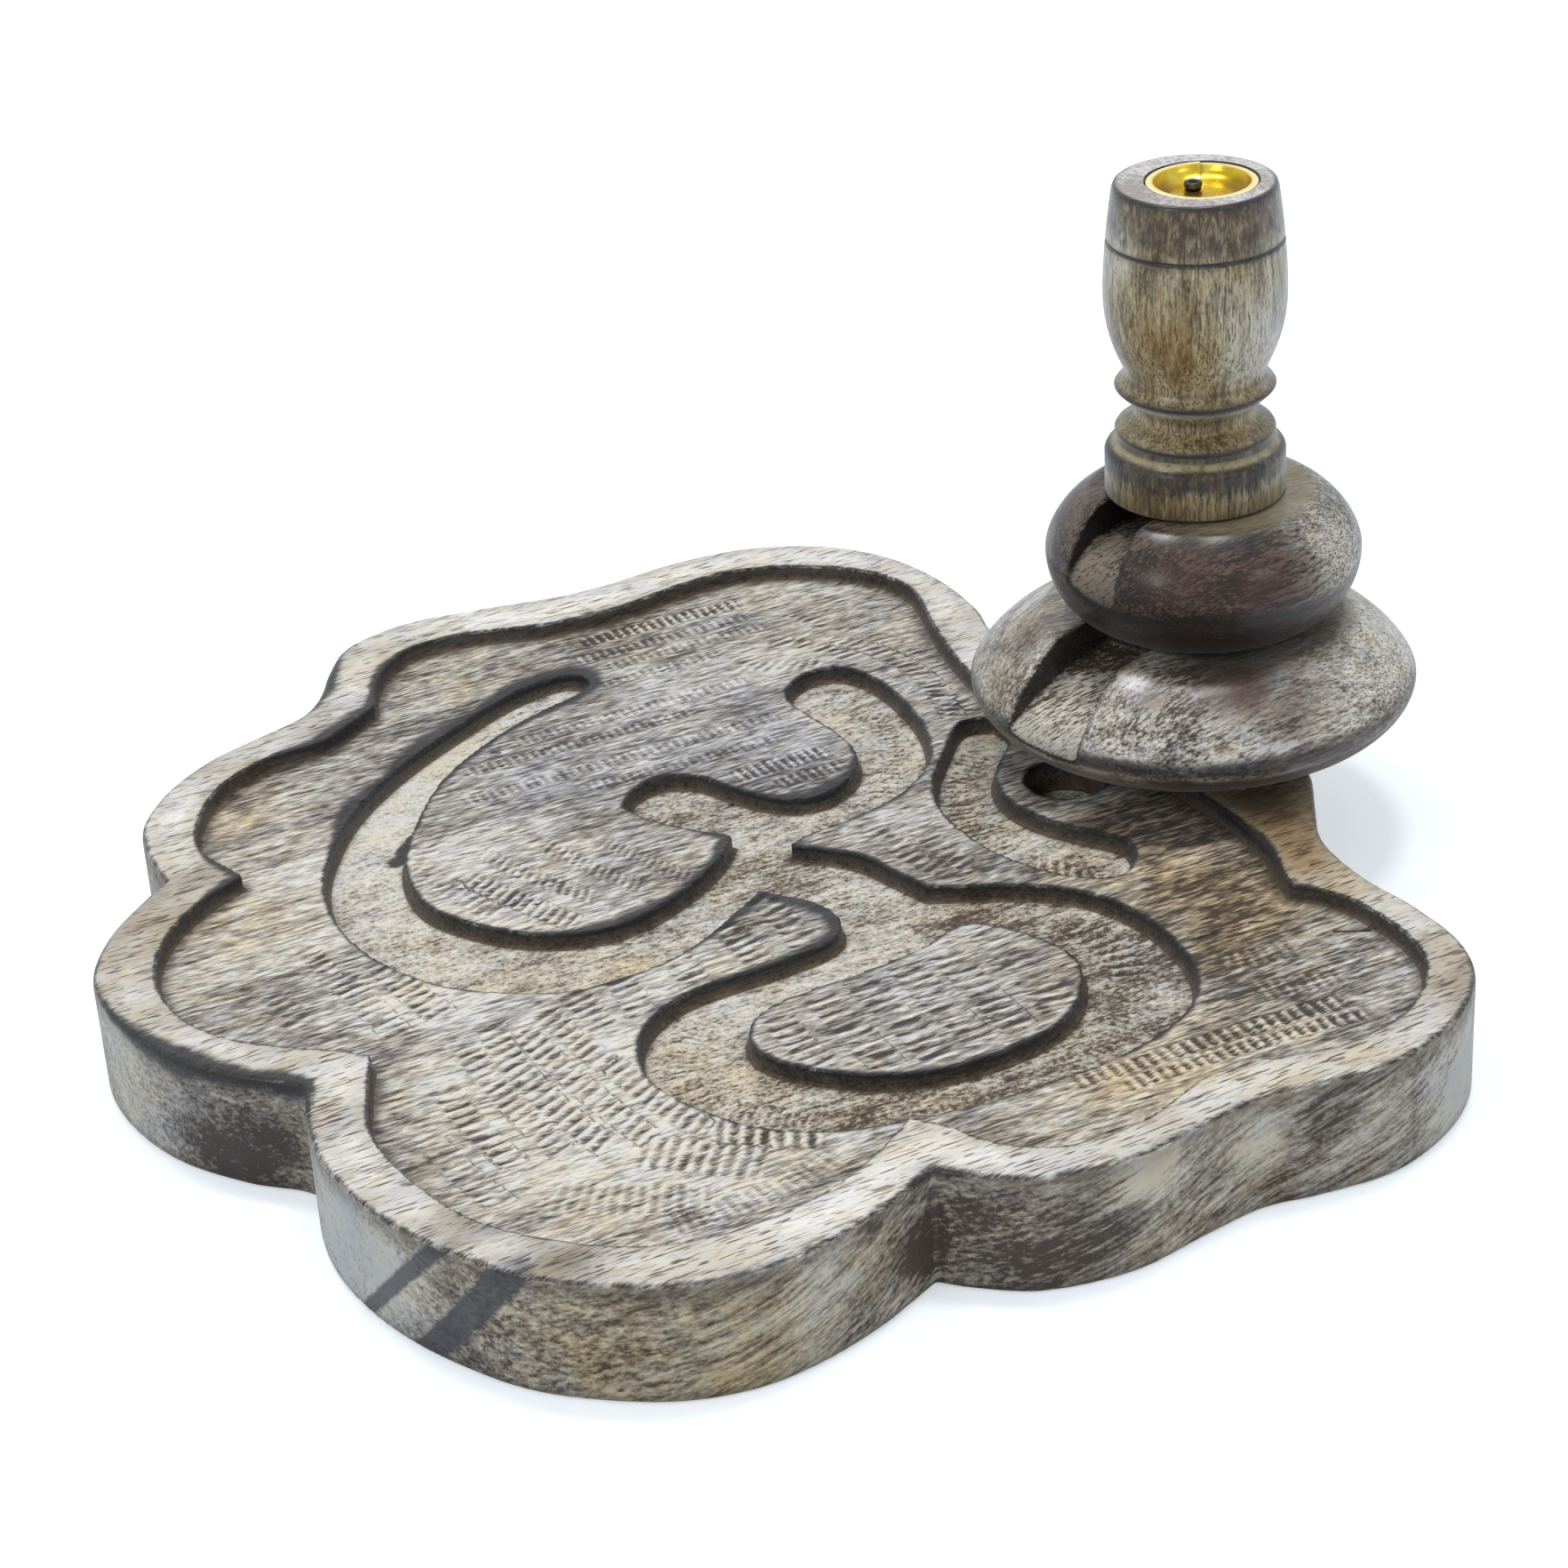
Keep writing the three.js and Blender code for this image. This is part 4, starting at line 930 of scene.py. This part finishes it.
def pebbleWood(name, tones):
    wood = Finish(name, tones)
    fibre = wood.noise((0.6, 9, 0.6), 3, 0.62, (6, 0, 0))
    speckle = wood.noise((0.42, 1.4, 0.42), 2, 0.65, (6, 0, 0))
    hairs = wood.noise((0.42, 5.5, 0.42), 1, 0.5, (8, 0, 0))
    drift = wood.noise((7, 9, 6), 4, 0.7, (20, 0, 40))
    layers = wood.noise((6, 60, 1.8), 3, 0.55, (4, 14, 0), 0.7)
    patches = wood.noise((12, 18, 8), 2, 0.6)
    flat, walled, out, char, rise, around, reach = wood.painted(
        "channelFloor", "channelWall", "channelOut", "char", "rise", "round", "reach")
    # The lighter spots are painted highlights on the pebbles' shoulders and right ends
    toneAndPaintedLight = wood.spots(tones["toneAndPaintedLight"])

    body = 0.48 + (fibre * 1.7 + speckle * 2.0 + hairs * 0.8) * tones["lively"] + layers * 1.4
    body = body + patches * 1.7 + toneAndPaintedLight
    wood.colour = wood.ramp(body, [(0.08, "dark"), (0.5, "mid"), (0.95, "pale")])
    behind = around.step(1.4, 1.95)  # around is 0 at the front, 1 a quarter turn to the right
    flank = (around - patches * 0.8).step(0.2, 0.75) * (1 - behind * (1 - tones["leftFlank"]))
    flank = flank.upper((0 - around + patches * 0.6).step(0.3, 0.7) * tones["leftFlank"])
    lines = 0.56 + fibre * 1.9 + hairs * 2.0 + speckle * 0.8 + layers * 1.1 + patches * 0.4 + toneAndPaintedLight
    wood.over(flank, wood.ramp(lines, [(0.1, "flankDark"), (0.5, "flank"), (0.92, "flankPale")]))
    dash = (hairs + speckle * 0.2).step(0.07, 0.14) * (0.34 + flank * 0.5)
    wood.over(dash, "dash")
    red = rise * 0
    for *centre, size, strong in tones["patches"]:
        red = red.upper(wood.near(centre, size) * strong)
    red = (red * (0.95 + speckle * 1.6 + patches)).upper(0)
    red = red.upper(drift.step(0.07, 0.2) * 0.5 * (1 - flank * 0.6))
    wood.over(red, "patch")
    wood.over(drift * 2.6, "golden", "MULTIPLY")
    wood.over(drift * -2.6, "cool", "MULTIPLY")
    # The ring round the seat: a painted shadow on the lower pebble, a lighter olive tone on the upper pebble
    ledgeShadeAndTone = (1 - reach).step(0.22, 0.36) * rise.step(0.8, 0.95) * (around + 0.35).step(0, 0.5) * (1 - behind)
    wood.over(ledgeShadeAndTone * (0.7 + speckle), "seat")
    low = (rise + layers * 0.1 + patches * 0.08).step(tones["beltAt"] - 0.03, tones["beltAt"] - 0.14)
    wood.over((low * 0.85 + (speckle + fibre) * low * 1.6).lower(0.94), "low")
    belt = (rise - tones["beltAt"] + layers * 0.05).size()
    belt = belt.step(tones["beltWidth"] * 1.9, tones["beltWidth"] * 0.5)
    belt = belt * (0.78 + patches * 1.2 + speckle * 0.6).upper(0)
    wood.over(belt.lower(0.9), "belt")
    # The channel floor darkens towards its inner end as painted shade, with grain over it
    channelFloorShadeAndGrain = (out + speckle * 2.6 + fibre * 2.2 + patches * 1.8 + hairs * 1.2).step(0.2, 1.1)
    wood.over(flat, wood.mix(channelFloorShadeAndGrain, "floorIn", "floorOut"))
    # A near-black painted shade on the channel walls; the same colour marks the burnt channel edges
    wood.over(walled * (0.9 + speckle * 0.5), "wall")
    wood.over((char + patches * 0.6 * char).lower(0.9), "wall")

    roughness = 0.44 + flat * 0.2 + low * 0.08 + speckle * 0.4 + hairs * 0.3
    height = hairs * 0.7 - dash * 0.5 + speckle * 0.5 + fibre * 0.4 + (flat + walled) * speckle
    coat = (1 - flat - walled).upper(0) * (1 - low * 0.6) * (1 - red * 0.4) * tones["coat"]
    coat = (coat * (0.9 + speckle + patches * 1.6)).upper(0).lower(1)
    return wood.done(roughness, height, 0.14 * mm, coat=coat, sheen=tones["sheen"])


# Cone holder, turned in one piece
holder = {
    "baseRadius": 14.9, "baseHeight": 8.4, "discRadius": 13.2, "discHeight": 11, "neckRadius": 9.8,
    "neckHeight": 14.5, "ringRadius": 13.2, "ringHeight": 18.7, "footRadius": 11.4, "footHeight": 21.4,
    "bellyRadius": 14.9, "bellyHeight": 34.6, "rimRadius": 13.2, "height": 52.9, "scribe": 43.6,
    "scribeDepth": 0.4, "boreRadius": 4, "sides": 128,
    # Soft patches: place, reach, strength
    # The first spots are painted reflection along the holder's silhouettes
    "toneAndPaintedLight": [(16, 83, 95, 8, 0.7), (1, 62, 108, 6, 0.6), (16, 84, 110, 6, 0.5), (10, 87, 84, 6, 0.5),
              (16, 84, 71, 6, 0.6), (15, 76, 88, 5, 0.3)],
    "honeyed": [(12, 66, 93, 6, 0.5)],
    "shaded": [(14, 68, 116, 8, 0.3), (0, 67, 116, 6, 0.55), (11, 89, 116, 6, 0.4)],
    # Burnt and dark lines round it: height, width, strength
    "darkLines": [(43.6, 0.45, 1.0), (18.4, 0.65, 1.15), (20.6, 0.3, 0.4), (10.7, 0.65, 1.15),
                  (12.2, 0.2, 0.3), (52.6, 0.6, 1.0), (9.3, 0.3, 0.6), (15.2, 0.4, 0.3), (0.0, 0.6, 0.7)],
}
cup = {  # mm, but for the seam's bearing in degrees
    "flangeRadius": 9, "mouthRadius": 7.7, "floorRadius": 4.5, "depth": 2.2, "thickness": 0.5,
    "holeRadius": 1.35, "seam": 150, "lap": 0.22, "gap": 0.3,
}


def holderProfile():
    h = holder

    def belly(height):
        if height > h["bellyHeight"]:
            share = (height - h["bellyHeight"]) / (h["height"] - h["bellyHeight"])
            return h["bellyRadius"] - (h["bellyRadius"] - h["rimRadius"]) * share ** 1.7
        share = (h["bellyHeight"] - height) / (h["bellyHeight"] - h["footHeight"])
        return h["bellyRadius"] - (h["bellyRadius"] - h["footRadius"]) * share ** 2.1

    base, disc, neck, ring = h["baseRadius"], h["discRadius"], h["neckRadius"], h["ringRadius"]
    top, discTop, neckTop, ringTop = h["baseHeight"], h["discHeight"], h["neckHeight"], h["ringHeight"]
    profile = [
        (0, 0), (base - 0.5, 0), (base - 0.15, 0.15), (base, 0.5), (base, top - 1.2),
        (base - 0.12, top - 0.8), (base - 0.45, top - 0.3), (base - 0.9, top), (disc - 0.2, top + 0.6),
        (disc - 0.5, top + 1.0), (disc - 0.5, discTop - 0.8), (disc - 0.2, discTop - 0.55),
        (disc, discTop - 0.2), (disc, discTop + 0.1), (disc - 0.3, discTop + 0.6),
        (disc - 1.1, discTop + 0.95), (neck + 1.9, discTop + 1.35), (neck + 0.8, discTop + 1.8),
        (neck + 0.3, discTop + 2.2), (neck + 0.08, neckTop - 0.9), (neck, neckTop - 0.2),
        (neck + 0.05, neckTop + 0.5), (neck + 0.35, neckTop + 1.3), (neck + 0.9, neckTop + 1.9),
        (ring - 1.5, ringTop - 1.7), (ring - 0.75, ringTop - 1.1), (ring - 0.22, ringTop - 0.55),
        (ring - 0.03, ringTop - 0.25), (ring, ringTop), (ring - 0.18, ringTop + 0.3),
        (ring - 0.75, ringTop + 0.8), (ring - 1.2, ringTop + 1.35),
        (h["footRadius"] + 0.35, ringTop + 2.0)
    ]
    for height in np.linspace(h["footHeight"], h["scribe"] - 0.5, 26):
        profile.append((belly(height) + 0.25 * math.exp(-(height - h["footHeight"]) / 0.7), height))
    scribed = belly(h["scribe"])
    profile += [(scribed - 0.25, h["scribe"] - 0.28), (scribed - h["scribeDepth"], h["scribe"])]
    profile += [(scribed - 0.25, h["scribe"] + 0.28)]
    for height in np.linspace(h["scribe"] + 0.5, h["height"] - 1.0, 12):
        profile.append((belly(height), height))
    rim = h["rimRadius"]
    profile += [(rim, h["height"] - 0.6), (rim - 0.12, h["height"] - 0.28), (rim - 0.4, h["height"] - 0.06)]
    return profile + [(rim - 0.75, h["height"]), (0, h["height"])]


def dishCurve(grown=0.0):  # the cup's inside, from its mouth in to its floor
    steps = np.linspace(0, math.pi / 2, 12)
    reach = cup["mouthRadius"] - cup["floorRadius"]
    bowl = [(cup["floorRadius"] + reach * math.cos(turn), -cup["depth"] * math.sin(turn)) for turn in steps]
    return [(out + grown, up - grown) for out, up in bowl]


def makeHolder():
    low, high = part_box("cone_holder")
    axis = middleOf("cone_holder")
    axis.z = low.z
    piece = turned("turned_holder", holderProfile(), axis, holder["sides"])
    drilled(piece, axis, holder["boreRadius"] * mm, low.z - mm, high.z + mm)
    outside = dishCurve(cup["thickness"] + cup["gap"])[::-1]
    mouth = cup["flangeRadius"] + cup["gap"]
    recess = [(0, outside[0][1]), *outside, (mouth, -cup["thickness"] - cup["gap"]), (mouth, 1), (0, 1)]
    middle = middleOf("brass_cup")
    middle.z = high.z
    cutAway(piece, turned("recess", recess, middle, holder["sides"]))
    offset, inward = about(piece, axis)[:2]
    height = offset[:, 2]
    lines = [strong * np.exp(-((height - level) / width) ** 2)
             for level, width, strong in holder["darkLines"]]
    paint(piece, lines=np.max(lines, axis=0), level=height, inward=inward,
          cupGap=about(piece, middle)[1] - mouth)
    dress(piece, holderWood(), "cone_holder", 38)


holderTones = shades(
    pale=(192, 182, 148), mid=(144, 127, 86), dark=(62, 47, 28), fleck=(58, 45, 37), collar=(70, 52, 42),
    # The cream colour here is a painted highlight on the base band's shoulder
    burn=(34, 29, 32), cream=(196, 182, 142), honey=(146, 112, 54), ash=(206, 202, 194),
    # The pale face colour is a painted reflection on the holder's top face
    ashDark=(110, 102, 100), face=(220, 217, 214), faceDark=(150, 138, 132))


def holderWood():
    wood = Finish("turned holder wood", holderTones)
    fibre = wood.noise((0.6, 0.6, 8), 3, 0.6)
    flecks = wood.noise((0.34, 0.34, 3.0), 2, 0.55)
    speckle = wood.noise((0.45, 0.45, 1.0), 2, 0.62)
    patches = wood.noise((6, 6, 14), 2, 0.6)
    blots = wood.noise((1.5, 1.5, 2.6), 3, 0.65)
    broad = wood.noise((2.0, 2.0, 16), 3, 0.6, (3, 0, 0))
    drift = wood.noise((6, 6, 12), 4, 0.72, (20, 0, 0))
    lines, level, inward, cupGap = wood.painted("lines", "level", "inward", "cupGap")
    toneAndPaintedLight = wood.spots(holder["toneAndPaintedLight"])

    body = 0.52 + fibre * 1.5 + speckle * 1.1 + patches * 1.1 + broad * 1.5 + toneAndPaintedLight * 0.4
    wood.colour = wood.ramp(body, [(0.08, "dark"), (0.5, "mid"), (0.95, "pale")])
    honey = (patches + 0.5).step(0.55, 0.72) * 0.3 + level.step(30, 20) * 0.2
    honey = honey + wood.spots(holder["honeyed"])
    wood.over(honey, "honey")
    # A cool grey laid over the painted reflection spots and over random cool patches
    ash = (toneAndPaintedLight + (0 - drift).upper(0) * 2.4 - honey).upper(0).lower(0.8)
    wood.over(ash, wood.mix(body, "ashDark", "ash"))
    collar = (level + patches * 6).step(43.8, 46.5) * (0.7 + blots * 2.2).upper(0).lower(1)
    wood.over(collar, "collar")
    wood.over((flecks + patches * 0.3).step(0.05, 0.15) * 0.8, "fleck")
    high = (level + blots * 3 + flecks * 6).step(3.0, 5.8) * level.step(9.0, 8.4)
    high = (high * (0.86 + blots * 0.9 + patches * 0.6)).upper(0).lower(0.95)
    wood.over(high, "burn")
    # A painted highlight along the rounded top shoulder of the base band
    edge = level.step(8.2, 8.8) * level.step(9.5, 9.1) * (0.6 + blots * 2.6 + flecks).upper(0)
    wood.over(edge.lower(0.8), "cream")
    # The top face runs from faceDark to a pale colour that is painted reflection, and the shaded spots darken
    # it as painted shade
    face = level.step(52.7, 52.88) * cupGap.step(-0.3, -0.05)
    faceBody = 0.6 + blots * 1.5 + speckle * 1.6 - wood.spots(holder["shaded"])
    wood.over(face, wood.mix(faceBody.step(0.1, 0.9), "faceDark", "face"))
    lines = lines * (1 - face * inward.step(12.9, 12.2))
    wood.over((lines * 1.15 + (speckle + blots) * lines).lower(0.95), "burn")
    wood.over(cupGap.step(0.12, -0.1) * level.step(49, 50), "burn")

    roughness = 0.42 + speckle * 0.5 + face * 0.05
    height = flecks * 0.9 + speckle * 0.7 + fibre * 0.4
    return wood.done(roughness, height, 0.14 * mm, coat=0.5 - high * 0.3, sheen=0.5)


# Brass cup, pressed from sheet that laps at a seam, and the eyelet at its smoke hole
def makeCup():
    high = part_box("brass_cup")[1].z
    middle = middleOf("brass_cup")
    middle.z = high - 0.15 * mm
    thick, rim = cup["thickness"], cup["flangeRadius"]
    inside = dishCurve()
    start = inside[0][0]
    lip = [(rim - 0.12, -thick), (rim, -thick * 0.5), (rim - 0.1, -0.06), (rim - 0.3, 0),
           (start + 0.35, 0.02), (start + 0.08, -0.05)]
    profile = [(0, -cup["depth"] - thick), *dishCurve(thick)[::-1], *lip, *inside[1:], (0, -cup["depth"])]
    piece = turned("pressed_cup", profile, middle, 160)
    drilled(piece, middleOf("cup_eyelet"), cup["holeRadius"] * mm, high - 4 * mm, high + mm)
    offset, reach, bearing = about(piece, middle)
    behind = ((bearing - cup["seam"]) % 360) / 360
    places = corners(piece) / mm
    places[:, 2] += cup["lap"] * np.exp(-behind / 0.09) * ramp(reach, 5.6, 7.4)
    ripple = 0.03 * waver(places, 4.5, 8) * ramp(reach, 2, 5)
    places[:, 2] += ripple * (reach < rim - 0.6)
    setCorners(piece, places * mm)
    # The bowl's left and right inner walls as seen from the camera, where a dark reflection is painted
    sideways = np.abs(offset[:, 0] * 0.42 + offset[:, 1] * 0.91) / np.maximum(reach, 1)
    ring = ramp(reach, 4.0, 5.6) * (1 - ramp(reach, 6.9, 7.6))
    paint(piece, seam=np.exp(-((1 - behind) / 0.006)) * ramp(reach, 4.5, 6.5),
          flange=ramp(reach, cup["mouthRadius"] - 0.1, cup["mouthRadius"] + 0.5),
          tarnish=ring * ramp(sideways, 0.5, 0.95))
    dress(piece, brass(), "brass_cup", 40)


def brass():
    metal = Finish("bright brass")
    smear = metal.noise((4, 4, 4), 2, 0.5)
    scuff = metal.noise((0.5, 3, 0.5), 2, 0.6)
    stain = metal.noise((1.8, 1.8, 1.8), 3, 0.6)
    seam, tarnish, flange = metal.painted("seam", "tarnish", "flange")
    metal.colour = metal.ramp(0.5 + smear * 1.8, [
        (0.1, srgb(208, 170, 40)), (0.5, srgb(236, 202, 62)), (0.9, srgb(252, 232, 120))])
    # A painted dark reflection on the bowl's sides
    metal.over(tarnish * (0.8 + smear * 1.5), srgb(150, 104, 22))
    metal.over(stain.step(0.24, 0.36) * 0.3, srgb(150, 110, 36))
    # A near-white cream painted on the flange as its highlight; the flange is also rougher and less metallic
    metal.over(flange * 0.85, srgb(255, 244, 190))
    metal.over(seam * 0.85, srgb(60, 42, 20))
    roughness = 0.26 + smear * 0.1 + scuff * 0.1 + flange * 0.2
    return metal.done(roughness, scuff * 0.12 + smear * 0.3, 0.05 * mm, metallic=1 - flange * 0.8)


eyelet = {"bore": 0.7, "shank": 1.1, "head": 1.5, "headTall": 0.9}  # radii and a height, in mm


def makeEyelet():
    low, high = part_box("cup_eyelet")
    middle = middleOf("cup_eyelet")
    middle.z = low.z
    tall = (high.z - low.z) / mm
    under = tall - eyelet["headTall"]
    bore, shank, head = eyelet["bore"], eyelet["shank"], eyelet["head"]
    profile = [
        (bore, 0), (shank, 0), (shank, under), (head - 0.08, under), (head, under + 0.12),
        (head, tall - 0.35), (head - 0.08, tall - 0.14), (head - 0.25, tall - 0.02), (head - 0.5, tall),
        (bore + 0.12, tall - 0.08), (bore, tall - 0.3), (bore, 0)
    ]
    dress(turned("smoke_eyelet", profile, middle, 48), darkSteel(), "cup_eyelet")


def darkSteel():
    metal = Finish("blackened steel")
    soot = metal.noise((0.7, 0.7, 0.7), 3, 0.65)
    metal.colour = metal.ramp(0.5 + soot * 1.6, [
        (0.2, srgb(38, 34, 32)), (0.6, srgb(84, 78, 74)), (0.95, srgb(128, 120, 112))])
    return metal.done(0.5 + soot * 0.4, soot, 0.08 * mm, metallic=0.7)


# Hidden fixings keep their CAD shapes
def dowelWood():
    wood = Finish("plain dowel wood")
    fibre = wood.noise((0.4, 0.4, 6), 3, 0.6)
    flecks = wood.noise((0.3, 0.3, 1.6), 2, 0.6)
    wood.colour = wood.ramp(0.5 + fibre * 1.4 + flecks * 0.6, [
        (0.1, srgb(172, 140, 98)), (0.5, srgb(206, 178, 134)), (0.9, srgb(226, 204, 166))])
    return wood.done(0.62 + fibre * 0.2, fibre, 0.08 * mm)


def zincSteel():
    metal = Finish("zinc plated steel")
    cloud = metal.noise((1.2, 1.2, 1.2), 3, 0.6)
    turning = metal.noise((2.5, 2.5, 0.12), 1, 0.5)
    metal.colour = metal.ramp(0.5 + cloud * 1.4, [
        (0.1, srgb(140, 142, 148)), (0.5, srgb(176, 178, 184)), (0.9, srgb(206, 208, 212))])
    return metal.done(0.34 + cloud * 0.3, turning, 0.05 * mm, metallic=1.0)


def finishFixings():
    wood, steel = dowelWood(), zincSteel()
    for side in ("left", "right"):
        for node, finish in (("pebble_dowel_", wood), ("holder_dowel_", wood), ("tray_screw_", steel)):
            for slot in burner[node + side].material_slots:
                slot.material = finish


# Stage and light
light = {
    "sky": 0.58,
    "gloss": 0.25,  # how much of the white backdrop a reflection sees
    "lamps": [  # name, place, target, size, watts
        ("overhead left", (-0.30, -0.12, 1.15), (0, 0, 0), 0.2, 2.8),
        ("overhead right", (-0.02, 0.20, 1.15), (0, 0, 0), 0.2, 2.8),
        ("left", (0.35, -0.95, 0.75), (0, 0, 0.03), 0.4, 2.2),
        ("right", (0.9, 0.35, 0.7), (0, 0, 0.03), 0.3, 0.7),
    ],
}


def lamp(name, place, target, size, watts):
    data = bpy.data.lights.new(name, "AREA")
    data.shape = "DISK"
    data.size = size
    data.energy = watts
    made = bpy.data.objects.new(name, data)
    made.location = place
    made.rotation_euler = (Vector(target) - Vector(place)).to_track_quat("-Z", "Y").to_euler()
    bpy.context.scene.collection.objects.link(made)


def setStage():
    bpy.ops.object.select_all(action="DESELECT")
    bpy.ops.mesh.primitive_plane_add(size=6)
    ground = bpy.context.object
    ground.name = "ground"
    paper = Finish("white paper")
    seen = paper.node("ShaderNodeLightPath", {}, [], "Is Camera Ray")
    shade = paper.node("ShaderNodeBsdfDiffuse", {}, {"Color": (0.86, 0.91, 0.97, 1)})
    glow = paper.node("ShaderNodeEmission", {}, {"Color": (0.92, 0.97, 1, 1), "Strength": 0.42})
    lit = paper.node("ShaderNodeAddShader", {}, [shade, glow])
    either = paper.node("ShaderNodeMixShader", {}, [seen, shade, lit])
    paper.node("ShaderNodeOutputMaterial", {}, {"Surface": either})
    ground.data.materials.append(paper.owner)

    room = Finish("white room", kind="worlds")
    bpy.context.scene.world = room.owner
    seen = room.node("ShaderNodeLightPath", {}, [], "Is Camera Ray")
    gloss = room.node("ShaderNodeLightPath", {}, [], "Is Glossy Ray")
    amount = room.node("ShaderNodeMath", {"operation": "MULTIPLY_ADD"}, [gloss, light["gloss"], seen])
    sky = room.node("ShaderNodeBackground", {}, {"Color": (0.95, 0.98, 1, 1), "Strength": light["sky"]})
    backdrop = room.node("ShaderNodeBackground", {}, {"Color": (0.97, 1, 1, 1)})
    either = room.node("ShaderNodeMixShader", {}, [amount, sky, backdrop])
    room.node("ShaderNodeOutputWorld", {}, {"Surface": either})
    for lampSettings in light["lamps"]:
        lamp(*lampSettings)
    bpy.context.scene.view_settings.view_transform = "Standard"


placeCamera()
setStage()
print("camera and light placed")
makeTray()
print("tray made")
makePebble("wide_pebble", lowerPebble, pebbleWood("pale pebble wood", pebbleTones["lower_pebble"]))
makePebble("small_pebble", upperPebble, pebbleWood("dark pebble wood", pebbleTones["upper_pebble"]))
print("pebbles made")
makeHolder()
makeCup()
makeEyelet()
print("holder and cup made")
finishFixings()
